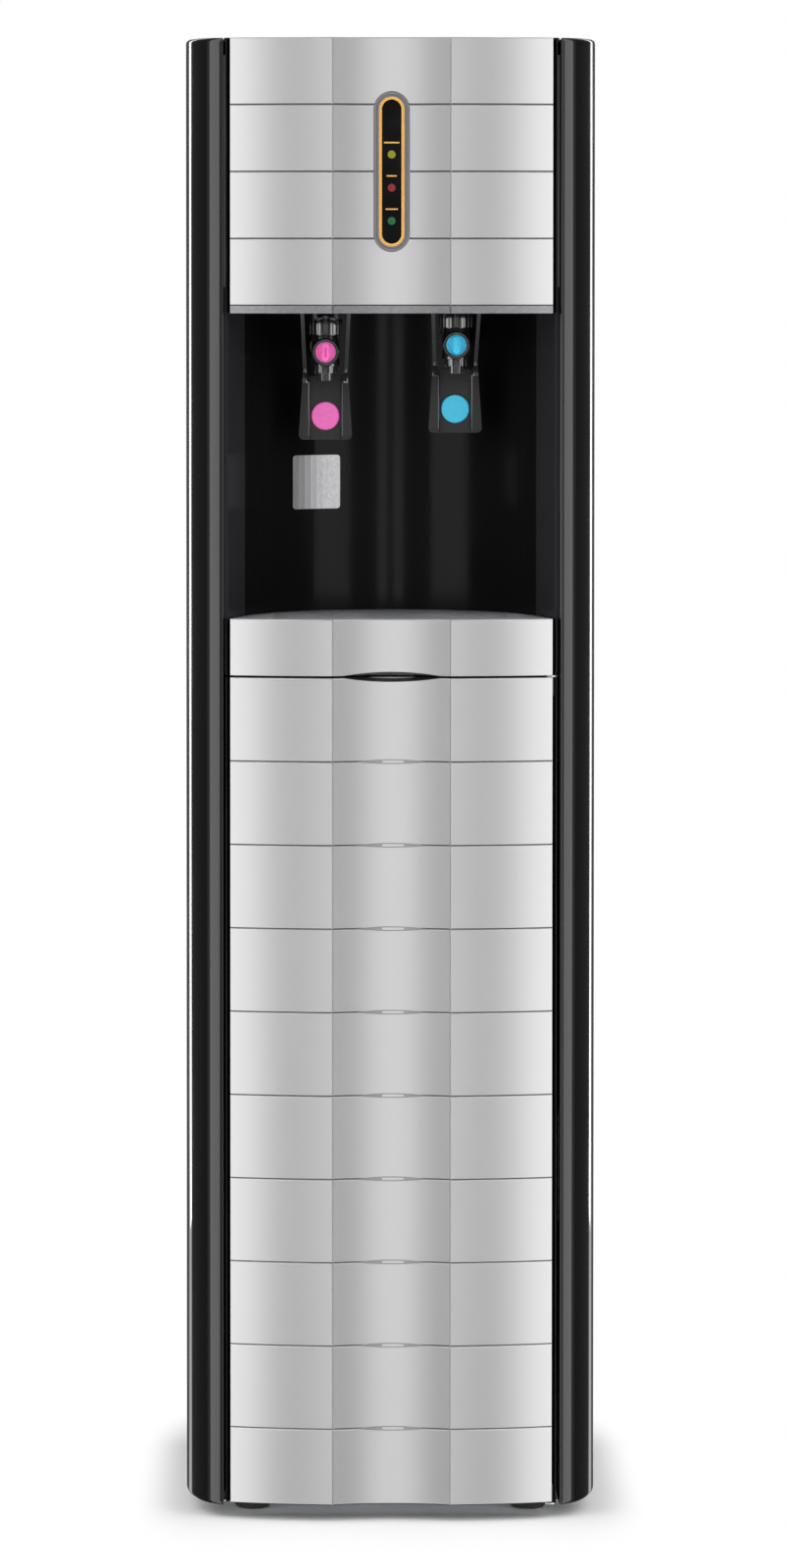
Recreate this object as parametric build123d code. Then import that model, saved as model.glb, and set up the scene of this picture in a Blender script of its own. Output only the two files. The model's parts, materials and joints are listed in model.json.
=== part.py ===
from build123d import *
import os
from math import ceil, cos, pi, radians, sin, sqrt

# Free-standing point-of-use cooler for hot and cold water. Sizes are in millimetres.
# +Z is up, +X is to the right seen from the front, and the front faces -Y.
# The origin is on the floor, in the middle of the cooler's footprint.

os.makedirs("parts", exist_ok=True)

# Whole cooler
width = 317.6
depth = 340.0
height = 1140.0
foot_height = 10.0
foot_radius = 14.0
foot_inset = 22.0

# Side panels, each with a hollow column that ends in an elliptic nose
column_width = 30.0
column_setback = 15.0
nose_depth = 70.0
column_depth = 46.0
side_wall = 3.2
corner_radius = 3.0
column_edge_radius = 4.0

# Silver face: two ridges with a hollow between them and a bulging facet on each side
door_gap = 1.5
lip_width = 3.7
ridge_spacing = 90.2
scallop_depth = 6.2
facet_crown = 2.0
edge_setback = 11.5
trim_proud = 0.8
skin = 2.5
base_wall = 2.5
groove = 0.8
ridge_line = 1.1

# Heights of the front, from the top down
top_cover_wall = 3.2
upper_strips = 4
upper_pitch = 51.25
chin_height = 5.9
niche_height = 234.5
tray_front_height = 43.2
seam = 1.8
door_pitch = 64.25
door_floor_gap = 2.6

# Sheet metal and moulded walls
sheet = 1.2
shelf_sheet = 2.5
liner_wall = 2.5
rear_recess = 30.0
clearance = 0.3
running = 0.06

# Niche
mouth_edge = 1.5
splay_depth = 69.0
splay_side = 12.8
niche_corner = 9.5
niche_shoulder = 83.7
niche_depth = 143.0
niche_head = 29.0
shelf_overhang = 12.0

# Indicator window
bezel_width = 27.8
bezel_height = 123.0
ring_width = 19.4
ring_line = 2.2
bezel_seat = 2.0
lamp_size = 6.2
lamp_pitch = 25.4

# Taps
tap_spacing = 101.0
tap_depth = 62.0
hot_tap_drop = 17.0
cold_tap_drop = 11.5
nut_radius = 13.0
nut_height = 12.0
barrel_radius = 11.0
boss_radius = 10.8
boss_reach = 20.0
boss_drop = 13.4
shank_rise = 3.4
knob_radius = 7.9
knob_depth = 5.0
knob_stem = 2.5
grip_width = 5.5
grip_rise = 2.6
nozzle_radius = 9.0
nozzle_height = 5.6
spout_radius = 6.2
spout_height = 5.8
water_bore = 3.5
shank_radius = 8.0
ear_spacing = 16.4
ear_wall = 3.4
stem_radius = 2.2
stem_head_radius = 4.5
stem_head_height = 3.0
stem_lift_arm = 9.0
stem_lift = 2.0
pin_radius = 2.0
pin_height = 23.0
lever_top = 20.0
lever_waist = 17.5
lever_foot = 21.0
rail_width = 3.0
rail_back = 31.0
rim_width = 9.2
rim_depth = 9.0
paddle_top = 33.0
paddle_bottom = 82.4
paddle_wall = 4.0
disc_radius = 11.0
disc_height = 2.4
disc_drop = 63.8

# Drip tray and grille
tray_wall = 2.5
tray_clearance = 2.8
tray_floor_gap = 0.4
grille_thickness = 3.0
grille_drop = 0.2
grille_lift_gap = 0.1
slot_width = 2.4
finger_length = 84.0
finger_height = 3.9
finger_reach = 11.0
finger_slope = 12.0

# Door
door_depth = 27.0
hinge_inset = 4.8
hinge_back = 2.5
hinge_pin_radius = 2.0
hinge_pin_length = 11.0
hinge_leaf = 1.0
hinge_leaf_width = 10.0
eye_length = 55.0
eye_height = 1.9
eye_line = 0.9
eye_depth = 0.7
magnet_size = 12.0
strike_thickness = 1.5

# Filters
cartridge_count = 3
cartridge_radius = 29.0
cartridge_length = 270.0
cartridge_pitch = 78.0
cartridge_setback = 76.0
cartridge_chamfer = 7.0
head_radius = 24.0
head_height = 34.0
neck_radius = 14.0
neck_height = 12.0
port_spacing = 26.0
rail_drop = 68.0
tube_radius = 3.2
tube_bend = 10.0

# Tanks, compressor and condenser
jacket_wide = 190.0
jacket_deep = 170.0
jacket_corner = 24.0
jacket_floor = 15.0
jacket_lid = 15.0
cold_tank_radius = 72.0
cold_tank_height = 135.0
jacket_gap = 20.0
hot_tank_radius = 52.0
hot_tank_height = 150.0
hot_tank_chamfer = 14.0
tank_wall = 1.2
compressor_radius = 58.0
compressor_pot = 70.0
compressor_dome = 58.0
compressor_gap = 67.0
plate_margin = 17.0
grommet_radius = 9.0
grommet_height = 12.0
condenser_width = 250.0
condenser_base = 330.0
condenser_runs = 12
condenser_pitch = 44.0
condenser_tube = 2.6
condenser_wire = 1.6
condenser_wires = 17
condenser_gap = 9.0
condenser_edge = 32.0

# Valve and control box on the pan
valve_side = 28.0
valve_height = 34.0
coil_side = 24.0
coil_height = 28.0
valve_gap = 24.0
box_width = 44.0
box_depth = 130.0
box_height = 110.0
box_gap = 12.0
box_back_gap = 50.0

# Back of the cooler
switch_width = 13.0
switch_height = 19.0
switch_pitch = 24.0
switch_rise = 40.0
inlet_x = 80.0
drain_x = 30.0
gland_x = -90.0
fitting_rise = 80.0
fitting_radius = 9.0
inlet_bore = 3.25
inlet_depth = 18.0
inlet_reach = 18.0
drain_pipe = 7.0
drain_flange = 13.0
cap_radius = 11.5
cap_ribs = 10
gland_radius = 8.0
cord_radius = 3.6
vent_length = 50.0
vent_spacing = 70.0
screw_head = 4.0
screw_rows = 5

# Places worked out from the sizes above
front_y = -depth / 2 + trim_proud
rear_y = depth / 2
half_width = width / 2
column_inner = half_width - column_width
panel_half = column_inner - door_gap - lip_width
base_half = column_inner - door_gap
ridge = ridge_spacing / 2
column_front = front_y + column_setback
column_back = column_front + column_depth
inside_half = half_width - side_wall
base_back = column_front + 5.0
rear_panel_y = rear_y - rear_recess

upper_bottom = height - upper_strips * upper_pitch
chin_bottom = upper_bottom - chin_height
tray_top = chin_bottom - niche_height
tray_bottom = tray_top - tray_front_height
door_top = tray_bottom - seam
door_bottom = foot_height + door_floor_gap
seam_middle = (tray_bottom + door_top) / 2
shelf_z = door_top + (seam - hinge_leaf) / 2 + hinge_leaf
shelf_top = shelf_z + shelf_sheet
niche_top = chin_bottom + niche_head
cover_z = height - top_cover_wall
niche_mouth = base_half - mouth_edge
niche_splay = niche_mouth - splay_side
niche_back_half = niche_splay - niche_corner
niche_rise = niche_depth - niche_shoulder
niche_radius = (niche_back_half ** 2 + niche_rise ** 2) / (2 * niche_rise)
niche_y = front_y + niche_depth - niche_radius
niche_back = front_y + niche_depth + liner_wall
shelf_back = front_y + niche_depth + shelf_overhang
tank_low = niche_top + sheet
cold_tank_y = rear_panel_y - jacket_gap - jacket_deep / 2
hot_tank_y = (niche_back + rear_panel_y) / 2
tap_y = front_y + tap_depth
barrel_height = boss_drop + boss_radius
hot_z = chin_bottom - hot_tap_drop
cold_z = chin_bottom - cold_tap_drop
hinge_x = base_half - hinge_inset
hinge_y = column_front - 0.5 + hinge_back
door_back = front_y + door_depth
filter_y = front_y + cartridge_setback
rail_z = shelf_z - rail_drop
pan_top = foot_height + sheet
compressor_y = rear_panel_y - compressor_gap - compressor_radius
compressor_z = pan_top + grommet_height
switch_z = niche_top + switch_rise
fitting_z = foot_height + fitting_rise
rear_face = rear_panel_y + sheet


def block(low, high):
    """Block between two corners."""
    size = [high[i] - low[i] for i in range(3)]
    middle = [(high[i] + low[i]) / 2 for i in range(3)]
    return Pos(*middle) * Box(*size)


def rod(radius, start, end):
    """Round bar between two points on a line along X, Y or Z."""
    path = Line(start, end)
    plane = Plane(origin=start, z_dir=path % 0)
    return extrude(plane * Circle(radius), amount=path.length)


def from_front(y):
    """Plane at y whose sketch shows X and Z as seen from the front."""
    return Plane(origin=(0, y, 0), x_dir=(1, 0, 0), z_dir=(0, -1, 0))


def through_front(sketch, near, far):
    """Prism of a front-view sketch between two values of y."""
    return extrude(from_front(far) * sketch, amount=far - near)


def along_x(sketch, half):
    """Prism of a side-view sketch (Y, Z), from -half to half along X."""
    return extrude(Plane.YZ * sketch, amount=half, both=True)


def rounded_slot(slot_wide, slot_high):
    """Upright slot with round ends."""
    return RectangleRounded(slot_wide, slot_high, slot_wide / 2 - 0.01)


def lens(half_length, half_height):
    """Pointed lens between two shallow arcs."""
    upper = ThreePointArc((-half_length, 0), (0, half_height), (half_length, 0))
    lower = ThreePointArc((half_length, 0), (0, -half_height), (-half_length, 0))
    return make_face([upper, lower])


# Silver face profile
def face_arcs(setback):
    """The five-point outline of the face seen from above, moved back by setback."""
    y = front_y + setback
    corner = (panel_half, y + edge_setback)
    bulge = ((panel_half + ridge) / 2, y + edge_setback / 2 - facet_crown)
    crest = (ridge, y)
    left = ThreePointArc((-corner[0], corner[1]), (-bulge[0], bulge[1]), (-crest[0], crest[1]))
    middle = ThreePointArc((-crest[0], crest[1]), (0, y + scallop_depth), crest)
    right = ThreePointArc(crest, bulge, corner)
    return [left, middle, right]


def face_band(near, far, low, high):
    """Wall that follows the face, between two setbacks and two heights."""
    front = face_arcs(near)
    back = face_arcs(far)
    side_left = Line(front[0] @ 0, back[0] @ 0)
    side_right = Line(back[2] @ 1, front[2] @ 1)
    outline = make_face(front + back + [side_left, side_right])
    return Pos(0, 0, low) * extrude(outline, amount=high - low)


def on_face(edge, level):
    """True for an edge of the silver face's outer surface at one height."""
    middle = edge @ 0.5
    if abs(middle.Z - level) > 0.01 or abs((edge @ 0).Z - (edge @ 1).Z) > 0.01:
        return False
    flat = Vertex(middle.X, middle.Y, 0)
    return min(arc.distance_to(flat) for arc in face_arcs(0)) < 0.05


def silver_strip(low, high):
    """One strip of the silver face, with a bevelled upper and lower edge."""
    strip = face_band(0, skin, low, high)
    edges = [e for e in strip.edges() if on_face(e, low) or on_face(e, high)]
    return chamfer(edges, groove)


def ridge_lines(low, high, setback):
    """Two narrow V grooves, one along the crest of each ridge."""
    notch = Rot(0, 0, 45) * Rectangle(ridge_line, ridge_line)
    lines = []
    for x in (-ridge, ridge):
        lines.append(Pos(x, front_y + setback, low) * extrude(notch, amount=high - low))
    return lines


def lip(low, high, side):
    """Slanting black edge beside the silver face, between it and the column."""
    inner = panel_half - base_wall
    outline = Polyline(
        (inner, base_back),
        (inner, base_back - 1.0),
        (panel_half + 0.2, base_back - 1.0),
        (base_half - 1.0, column_front - 0.5),
        (base_half, column_front + 0.8),
        (base_half, base_back),
        close=True,
    )
    bar = Pos(0, 0, low) * extrude(make_face(outline), amount=high - low)
    if side < 0:
        bar = mirror(bar, about=Plane.YZ)
    return bar


def face_base(low, high, back):
    """Black moulding behind the silver face: a wall that follows it, and four sides."""
    plate = face_band(skin, skin + base_wall, low, high)
    edge = panel_half - base_wall
    shell = face_band(skin, door_depth * 4, low, high)
    shell &= block((-edge, front_y, low), (edge, back, high))
    hollow = face_band(skin + base_wall, door_depth * 5, low + base_wall, high - base_wall)
    hollow &= block((-edge + base_wall, front_y, low), (edge - base_wall, back + 1, high))
    base = plate + (shell - hollow)
    base += lip(low, high, 1)
    base += lip(low, high, -1)
    return base


# Side panels
def side_panel(side):
    """Glossy side panel: column with an elliptic nose, side wall and rear flange."""
    nose_y = column_front + nose_depth
    nose = Pos(column_inner, nose_y) * Ellipse(column_width, nose_depth)
    nose &= Pos(column_inner + width / 2, nose_y - depth / 2) * Rectangle(width, depth)
    straight = Pos(column_inner + column_width / 2, (nose_y + rear_y) / 2)
    straight *= Rectangle(column_width, rear_y - nose_y)
    body = extrude(nose + straight, amount=height - foot_height)
    body = Pos(0, 0, foot_height) * body
    upright = body.edges().filter_by(Axis.Z)
    inner_edge = upright.sort_by(lambda e: (e @ 0.5).Y + (e @ 0.5).X)[0]
    body = fillet(inner_edge, column_edge_radius)
    rims = []
    for level in (foot_height, height):
        for edge in body.edges().filter_by(lambda e: abs((e @ 0).Z - level) < 0.01):
            middle = edge @ 0.5
            if abs((edge @ 1).Z - level) < 0.01 and middle.X > column_inner + side_wall:
                if middle.Y < rear_y - 1:
                    rims.append(edge)
    body = fillet(rims, corner_radius)
    far = height + 1
    body -= block((column_inner - 1, column_back, 0), (inside_half, rear_y + 1, far))
    room = Pos(column_inner, nose_y) * Ellipse(column_width - side_wall, nose_depth - side_wall)
    room &= Pos(column_inner + width / 2, nose_y - depth / 2) * Rectangle(width, depth)
    room &= Pos(column_inner + side_wall + width / 2, 0) * Rectangle(width, 2 * (side_wall - column_back))
    tube = extrude(room, amount=height - foot_height - 2 * side_wall)
    body -= Pos(0, 0, foot_height + side_wall) * tube
    flange_low = (inside_half - 12, rear_panel_y - side_wall, foot_height + 40)
    body += block(flange_low, (inside_half + 1, rear_panel_y, cover_z - 20))
    if side < 0:
        body = mirror(body, about=Plane.YZ)
    return body


# Sheet metal floor, rear panel and shelves
def base_pan():
    """Pressed steel floor: narrow between the columns, wide behind them, with upturned sides."""
    flange = 30.0
    pan = block((-column_inner, door_back + 3, foot_height), (column_inner, column_back, pan_top))
    pan += block((-inside_half, column_back, foot_height), (inside_half, rear_panel_y, pan_top))
    for side in (-1, 1):
        wall = block(
            (inside_half - sheet, column_back, foot_height),
            (inside_half, rear_panel_y, foot_height + flange),
        )
        pan += wall if side > 0 else mirror(wall, about=Plane.YZ)
    pan += block(
        (-inside_half, rear_panel_y - sheet, foot_height),
        (inside_half, rear_panel_y, foot_height + flange),
    )
    slot_y = compressor_y - compressor_radius - 14
    for index in range(4):
        x = (index - 1.5) * vent_length
        pan -= Pos(x, slot_y, foot_height) * Box(vent_length - 14, 8, 4 * sheet)
    return pan


def rear_panel():
    """Steel rear panel with vent slots low down and high up, and holes for what is fixed to it."""
    panel = block(
        (-inside_half, rear_panel_y, foot_height + 1),
        (inside_half, rear_face, cover_z),
    )
    levels = [foot_height + 175 + row * 16 for row in range(6)]
    levels += [cover_z - 40 - row * 16 for row in range(3)]
    cuts = []
    for z in levels:
        for x in (-vent_spacing, 0, vent_spacing):
            cuts.append(Pos(x, rear_panel_y, z) * Box(vent_length, 8, 6))
    for x in switch_places():
        cuts.append(Pos(x, rear_panel_y, switch_z) * Box(switch_width, 8, switch_height))
    for x, radius in ((inlet_x, fitting_radius), (drain_x, drain_pipe), (gland_x, gland_radius)):
        cuts.append(rod(radius, (x, rear_panel_y - 5, fitting_z), (x, rear_panel_y + 5, fitting_z)))
    return panel - cuts


def top_cover():
    """Moulded top: a plate between the columns and a skirt at the back."""
    front = base_back
    cover = block((-column_inner, front, cover_z), (column_inner, column_back, height))
    cover += block((-inside_half, column_back, cover_z), (inside_half, rear_y, height))
    cover += block((-inside_half, rear_y - side_wall, height - 45), (inside_half, rear_y, height))
    rim = cover.edges().filter_by(Axis.X).sort_by(lambda e: (e @ 0.5).Y + (e @ 0.5).Z)[-1]
    cover = fillet(rim, corner_radius - 0.5)
    for x in (-60, 60):
        rib = block((x - 1, front + 10, cover_z - 8), (x + 1, rear_panel_y - 10, cover_z + 1))
        cover += rib
    return cover


def tray_shelf():
    """Moulded shelf under the drip tray, which also closes the filter room."""
    shelf = block((-column_inner, door_back + 1.5, shelf_z), (column_inner, column_back, shelf_top))
    shelf += block((-inside_half, column_back, shelf_z), (inside_half, shelf_back, shelf_top))
    hem = block(
        (-inside_half, shelf_back - shelf_sheet, shelf_z - 22),
        (inside_half, shelf_back, shelf_top),
    )
    return shelf + hem


def tank_shelf():
    """Steel shelf over the niche that carries both tanks."""
    shelf = block(
        (-inside_half, column_back, niche_top),
        (inside_half, rear_panel_y - side_wall, niche_top + sheet),
    )
    for side in (-1, 1):
        flange = block(
            (inside_half - sheet, column_back, niche_top),
            (inside_half, rear_panel_y - side_wall, niche_top + 20),
        )
        shelf += flange if side > 0 else mirror(flange, about=Plane.YZ)
    return shelf


# Upper front
def upper_front_panel():
    """Silver panel of four strips, with the indicator opening through them."""
    strips = []
    for index in range(upper_strips):
        low = upper_bottom + index * upper_pitch
        strips.append(silver_strip(low, low + upper_pitch))
    panel = Part(strips[0].fuse(*strips[1:]).wrapped)
    panel -= ridge_lines(upper_bottom, height, 0)
    hole = Pos(0, indicator_z()) * rounded_slot(bezel_width, bezel_height)
    return panel - through_front(hole, front_y - 5, front_y + 20)


def upper_front_base():
    """Black moulding that carries the silver upper panel, the trim and the indicator."""
    base = face_base(chin_bottom, height, base_back)
    tabs = block(
        (base_half - 1, column_front + 1.5, chin_bottom + 20),
        (column_inner, base_back, cover_z - 10),
    )
    base += tabs
    base += mirror(tabs, about=Plane.YZ)
    middle = Pos(0, indicator_z())
    recess = middle * rounded_slot(bezel_width + clearance, bezel_height + clearance)
    base -= through_front(recess, front_y - 5, window_y() + bezel_seat)
    hole = middle * rounded_slot(bezel_width - 4, bezel_height - 4)
    return base - through_front(hole, front_y - 5, base_back)


def chin_trim():
    """Brushed strip that finishes the silver panel over the niche, slightly proud."""
    trim = face_band(-trim_proud, skin, chin_bottom, upper_bottom)
    return trim - ridge_lines(chin_bottom, upper_bottom, -trim_proud)


def indicator_z():
    """Height of the middle of the indicator slot."""
    return upper_bottom + upper_pitch * upper_strips / 2


def window_y():
    """Front of the indicator window, just behind the deepest line of the silver face."""
    return front_y + scallop_depth + 0.6


def indicator_bezel():
    """Grey slot-shaped frame with fine steps that go down to the window."""
    y = window_y()
    front = y - 1.4
    outline = Pos(0, indicator_z()) * rounded_slot(bezel_width, bezel_height)
    frame = through_front(outline, front, y + bezel_seat)
    step = (bezel_width - ring_width) / 2
    for index in range(3):
        inset = 1.2 + index * (step - 1.2) / 2.4
        size = (bezel_width - 2 * inset, bezel_height - 2 * inset)
        cut = Pos(0, indicator_z()) * rounded_slot(*size)
        frame -= through_front(cut, front - 1, front + 0.45 * (index + 1))
    opening = Pos(0, indicator_z()) * rounded_slot(ring_width, bezel_height - 2 * step)
    return frame - through_front(opening, front - 1, y + 5)


def indicator_ring():
    """Gold-coloured line round the window."""
    step = (bezel_width - ring_width) / 2
    outer = rounded_slot(ring_width, bezel_height - 2 * step)
    inner = rounded_slot(ring_width - 2 * ring_line, bezel_height - 2 * step - 2 * ring_line)
    y = window_y()
    return through_front(Pos(0, indicator_z()) * (outer - inner), y - 0.4, y + bezel_seat)


def indicator_window():
    """Black window with a flange behind the bezel and three holes for the lamps."""
    step = (bezel_width - ring_width) / 2
    y = window_y()
    tall = bezel_height - 2 * step
    face = rounded_slot(ring_width - 2 * ring_line, tall - 2 * ring_line)
    window = through_front(Pos(0, indicator_z()) * face, y, y + bezel_seat)
    flange = Pos(0, indicator_z()) * rounded_slot(bezel_width - 4.2, bezel_height - 4.2)
    window += through_front(flange, y + bezel_seat, y + bezel_seat + 3)
    for z in lamp_heights():
        window -= rod(lamp_size / 2, (0, y - 1, z), (0, y + 6, z))
    return window


def lamp_heights():
    """Heights of the power, hot and cold lamps."""
    top = indicator_z() + lamp_pitch / 2 + 0.4
    return [top - index * lamp_pitch for index in range(3)]


def lamp(z):
    """Round lamp lens with a bevelled front."""
    y = window_y()
    body = rod(lamp_size / 2, (0, y - 0.5, z), (0, y + 6, z))
    rim = body.edges().sort_by(Axis.Y)[0]
    return chamfer(rim, 0.4)


# Niche
def niche_plan():
    """Inside of the niche seen from above, as a closed face."""
    mouth_y = base_back - 1
    splay_y = front_y + splay_depth
    right = (niche_back_half, front_y + niche_shoulder)
    left = (-right[0], right[1])
    back = ThreePointArc(right, (0, front_y + niche_depth), left)
    side = Polyline(
        left,
        (-niche_splay, splay_y),
        (-niche_mouth, mouth_y),
        (niche_mouth, mouth_y),
        (niche_splay, splay_y),
        right,
    )
    return make_face([back] + list(side.edges()))


def niche_liner():
    """Glossy black lining: side walls, curved back, ceiling and a well for the drip tray."""
    plan = niche_plan()
    outer = offset(plan, amount=liner_wall, kind=Kind.INTERSECTION)
    tall = niche_top - shelf_top
    shell = extrude(outer, amount=tall) - extrude(plan, amount=tall - liner_wall)
    shell = Pos(0, 0, shelf_top) * shell
    shell -= block((-width, front_y - 5, 0), (width, base_back, height))
    flange = block((niche_mouth, base_back, tray_top), (column_inner, base_back + 10, niche_top))
    flange -= Pos(0, 0, shelf_top) * extrude(plan, amount=tall)
    shell += flange
    shell += mirror(flange, about=Plane.YZ)
    for x, z in ((-tap_spacing / 2, hot_z), (tap_spacing / 2, cold_z)):
        start = (x, tap_y, z - boss_drop + shank_rise)
        shell -= rod(shank_radius + 0.2, start, (x, 0, z - boss_drop + shank_rise))
    return shell


# Taps, each drawn with its nozzle axis on X = Y = 0 and the nut's underside at Z = 0
def ribbed(radius, low, high, ribs, bore):
    """Round sleeve with upright ribs all round it."""
    ring = Pos(0, 0, low) * extrude(Circle(radius) - Circle(bore), amount=high - low)
    pitch = 2 * pi * radius / ribs
    notch = extrude(Rectangle(pitch * 0.23, pitch * 0.37), amount=high - low)
    for index in range(ribs):
        ring -= Rot(0, 0, 360 / ribs * index) * Pos(radius, 0, low) * notch
    return ring


def tap_nut():
    """Ribbed nut that holds the bonnet on the tap."""
    return ribbed(nut_radius, 0, nut_height, 16, barrel_radius - 1 + 0.1)


def tap_nozzle():
    """Ribbed collar and a smaller ribbed spout under it."""
    collar_top = -barrel_height
    collar = ribbed(nozzle_radius, collar_top - nozzle_height, collar_top, 12, water_bore)
    spout_top = collar_top - nozzle_height
    return collar + ribbed(spout_radius, spout_top - spout_height, spout_top, 10, water_bore)


def tap_body(back_reach):
    """Barrel with a boss for the knob, a shank to the back wall, and ears for the lever pin."""
    body = Pos(0, 0, -barrel_height) * extrude(Circle(barrel_radius), amount=barrel_height)
    body += Pos(0, 0, -1) * extrude(Circle(barrel_radius - 1), amount=nut_height + 4)
    crown = body.edges().sort_by(Axis.Z)[-1]
    body = chamfer(crown, 1.5)
    body += rod(boss_radius, (0, 0, -boss_drop), (0, -boss_reach, -boss_drop))
    rim = body.edges().sort_by(Axis.Y)[0]
    body = chamfer(rim, 1.0)
    knob_floor = knob_depth + 1 - boss_reach
    body -= rod(knob_radius + clearance, (0, -boss_reach - 1, -boss_drop), (0, knob_floor, -boss_drop))
    body -= rod(knob_stem + running, (0, -boss_reach, -boss_drop), (0, -4, -boss_drop))
    shank_z = -boss_drop + shank_rise
    body += rod(shank_radius, (0, 0, shank_z), (0, back_reach + liner_wall + 14, shank_z))
    over_nut = block((-20, -20, nut_height + 0.2), (20, 20, 40)) + Cylinder(barrel_radius - 1, 80)
    for side in (-1, 1):
        near = side * ear_spacing / 2 - ear_wall / 2
        far = near + ear_wall
        ear = block((near, -stem_lift_arm - 4.5, nut_height - 4), (far, 3.5 - stem_lift_arm, pin_height))
        ear += rod(4.2, (near, -stem_lift_arm, pin_height), (far, -stem_lift_arm, pin_height))
        body += ear & over_nut
    body -= rod(pin_radius, (-20, -stem_lift_arm, pin_height), (20, -stem_lift_arm, pin_height))
    body -= Pos(0, 0, -8) * extrude(Circle(stem_radius + running), amount=60)
    body -= Pos(0, 0, -barrel_height - 1) * extrude(Circle(water_bore), amount=12)
    return body


def tap_stem():
    """Valve stem with the head that the lever lifts."""
    neck_top = pin_height + stem_lift + 0.7
    stem = Pos(0, 0, -6) * extrude(Circle(stem_radius), amount=neck_top + 6)
    return stem + Pos(0, 0, neck_top) * extrude(Circle(stem_head_radius), amount=stem_head_height)


def tap_knob(slit):
    """Small round knob with a grip bar across it, and for hot water a slit in the bar."""
    front = -boss_reach + 0.5
    knob = rod(knob_radius, (0, front, -boss_drop), (0, front + knob_depth, -boss_drop))
    knob += rod(knob_stem, (0, front, -boss_drop), (0, -5, -boss_drop))
    bar = Pos(0, -boss_drop) * RectangleRounded(grip_width, 2 * knob_radius - 2, grip_width / 2 - 0.1)
    scoops = Pos(0, -boss_drop) * Circle(knob_radius - 0.8)
    knob -= through_front(scoops - bar, front - 1, front + 1.2)
    knob += through_front(bar, front - grip_rise, front + 1)
    if slit:
        cut = Pos(0, -boss_drop) * RectangleRounded(1.0, 7.6, 0.45)
        knob -= through_front(cut, front - grip_rise - 1, front - grip_rise + 1.4)
    return knob


def tap_lever():
    """Lever with two rails beside the tap and a rimmed paddle, joined behind the stem."""
    pivot_y = -stem_lift_arm
    outline = Polyline(
        (-lever_top, pin_height + 5),
        (-lever_waist, -paddle_top + 4),
        (-lever_foot, -paddle_bottom),
        (lever_foot, -paddle_bottom),
        (lever_waist, -paddle_top + 4),
        (lever_top, pin_height + 5),
        close=True,
    )
    front = make_face(outline)
    feet = front.vertices().sort_by(Axis.Y)[:2]
    front = fillet(feet, 4)
    rim_front = rail_back - rim_depth
    profile = Polyline(
        (pivot_y - 5, pin_height + 5),
        (pivot_y + 5, pin_height + 5),
        (pivot_y + 12, 8),
        (rail_back, -paddle_top + 4),
        (rail_back, -paddle_bottom),
        (rim_front + 1, -paddle_bottom),
        (rim_front, -paddle_bottom + 4),
        (rim_front, -paddle_top - 5),
        (rim_front + 4, -paddle_top + 3),
        (pivot_y - 5, pin_height - 6),
        close=True,
    )
    side = make_face(profile)
    lever = through_front(front, -40, 60) & along_x(side, 40)
    gap = Polyline(
        (-lever_top + rail_width, pin_height + 6),
        (-lever_waist + rail_width, -paddle_top + 4),
        (-lever_waist + rail_width + 1, -paddle_top),
        (lever_waist - rail_width - 1, -paddle_top),
        (lever_waist - rail_width, -paddle_top + 4),
        (lever_top - rail_width, pin_height + 6),
        close=True,
    )
    lever -= through_front(make_face(gap), -40, 60)
    flat = lever_foot - rim_width
    lever -= block((-flat, -40, -paddle_bottom - 1), (flat, rail_back - paddle_wall, -paddle_top + 5))
    inner_rims = lever.edges().filter_by(Axis.Z).filter_by(lambda e: (e @ 0.5).Y < rim_front + 1)
    inner_rims = [e for e in inner_rims if abs(abs((e @ 0.5).X) - flat) < 0.1]
    lever = fillet(inner_rims, 2.2)
    for side_sign in (-1, 1):
        x = side_sign * lever_top
        arm = block((-1.5, 4.5, pin_height - 3), (1.5, 13, pin_height + 2.5))
        arm += block((-1.5, pivot_y, pin_height - 3), (1.5, 13, pin_height + 2.5))
        lever += Pos(x - side_sign * 1.5, 0, 0) * arm
    reach = lever_top - 1
    lever += block((-reach, 8, pin_height - 2), (reach, 13, pin_height + 2))
    tongue = block((-5.8, -2, pin_height - 1.5), (5.8, 9, pin_height + 1.5))
    tongue -= block((-2.8, -3, pin_height - 5), (2.8, 3, pin_height + 5))
    lever += tongue
    lever -= rod(pin_radius + running, (-40, pivot_y, pin_height), (40, pivot_y, pin_height))
    return lever


def lever_disc():
    """Coloured round pad set on the paddle."""
    y = rail_back - paddle_wall
    disc = rod(disc_radius, (0, y, -disc_drop), (0, y - disc_height, -disc_drop))
    rim = disc.edges().sort_by(Axis.Y)[0]
    return chamfer(rim, 0.7)


def lever_pin():
    """Steel pin that the lever turns on."""
    reach = lever_top + 1.5
    return rod(pin_radius, (-reach, -stem_lift_arm, pin_height), (reach, -stem_lift_arm, pin_height))


def tap_collar(side):
    """Round collar on the shank, trimmed to lie against the niche's curved wall."""
    x = side * tap_spacing / 2
    z = (hot_z if side < 0 else cold_z) - boss_drop + shank_rise
    start = tap_y + wall_reach() - 10
    collar = rod(shank_radius + 4, (x, start, z), (x, start + 20, z))
    room = Pos(0, 0, z - 50) * extrude(niche_plan(), amount=100)
    return collar & room


def tap_place(side):
    """Place of the hot (-1) or cold (1) tap."""
    return Pos(side * tap_spacing / 2, tap_y, hot_z if side < 0 else cold_z)


def wall_reach():
    """Distance from the tap's nozzle axis back to the niche wall."""
    return niche_y + sqrt(niche_radius ** 2 - (tap_spacing / 2) ** 2) - tap_y


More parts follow.
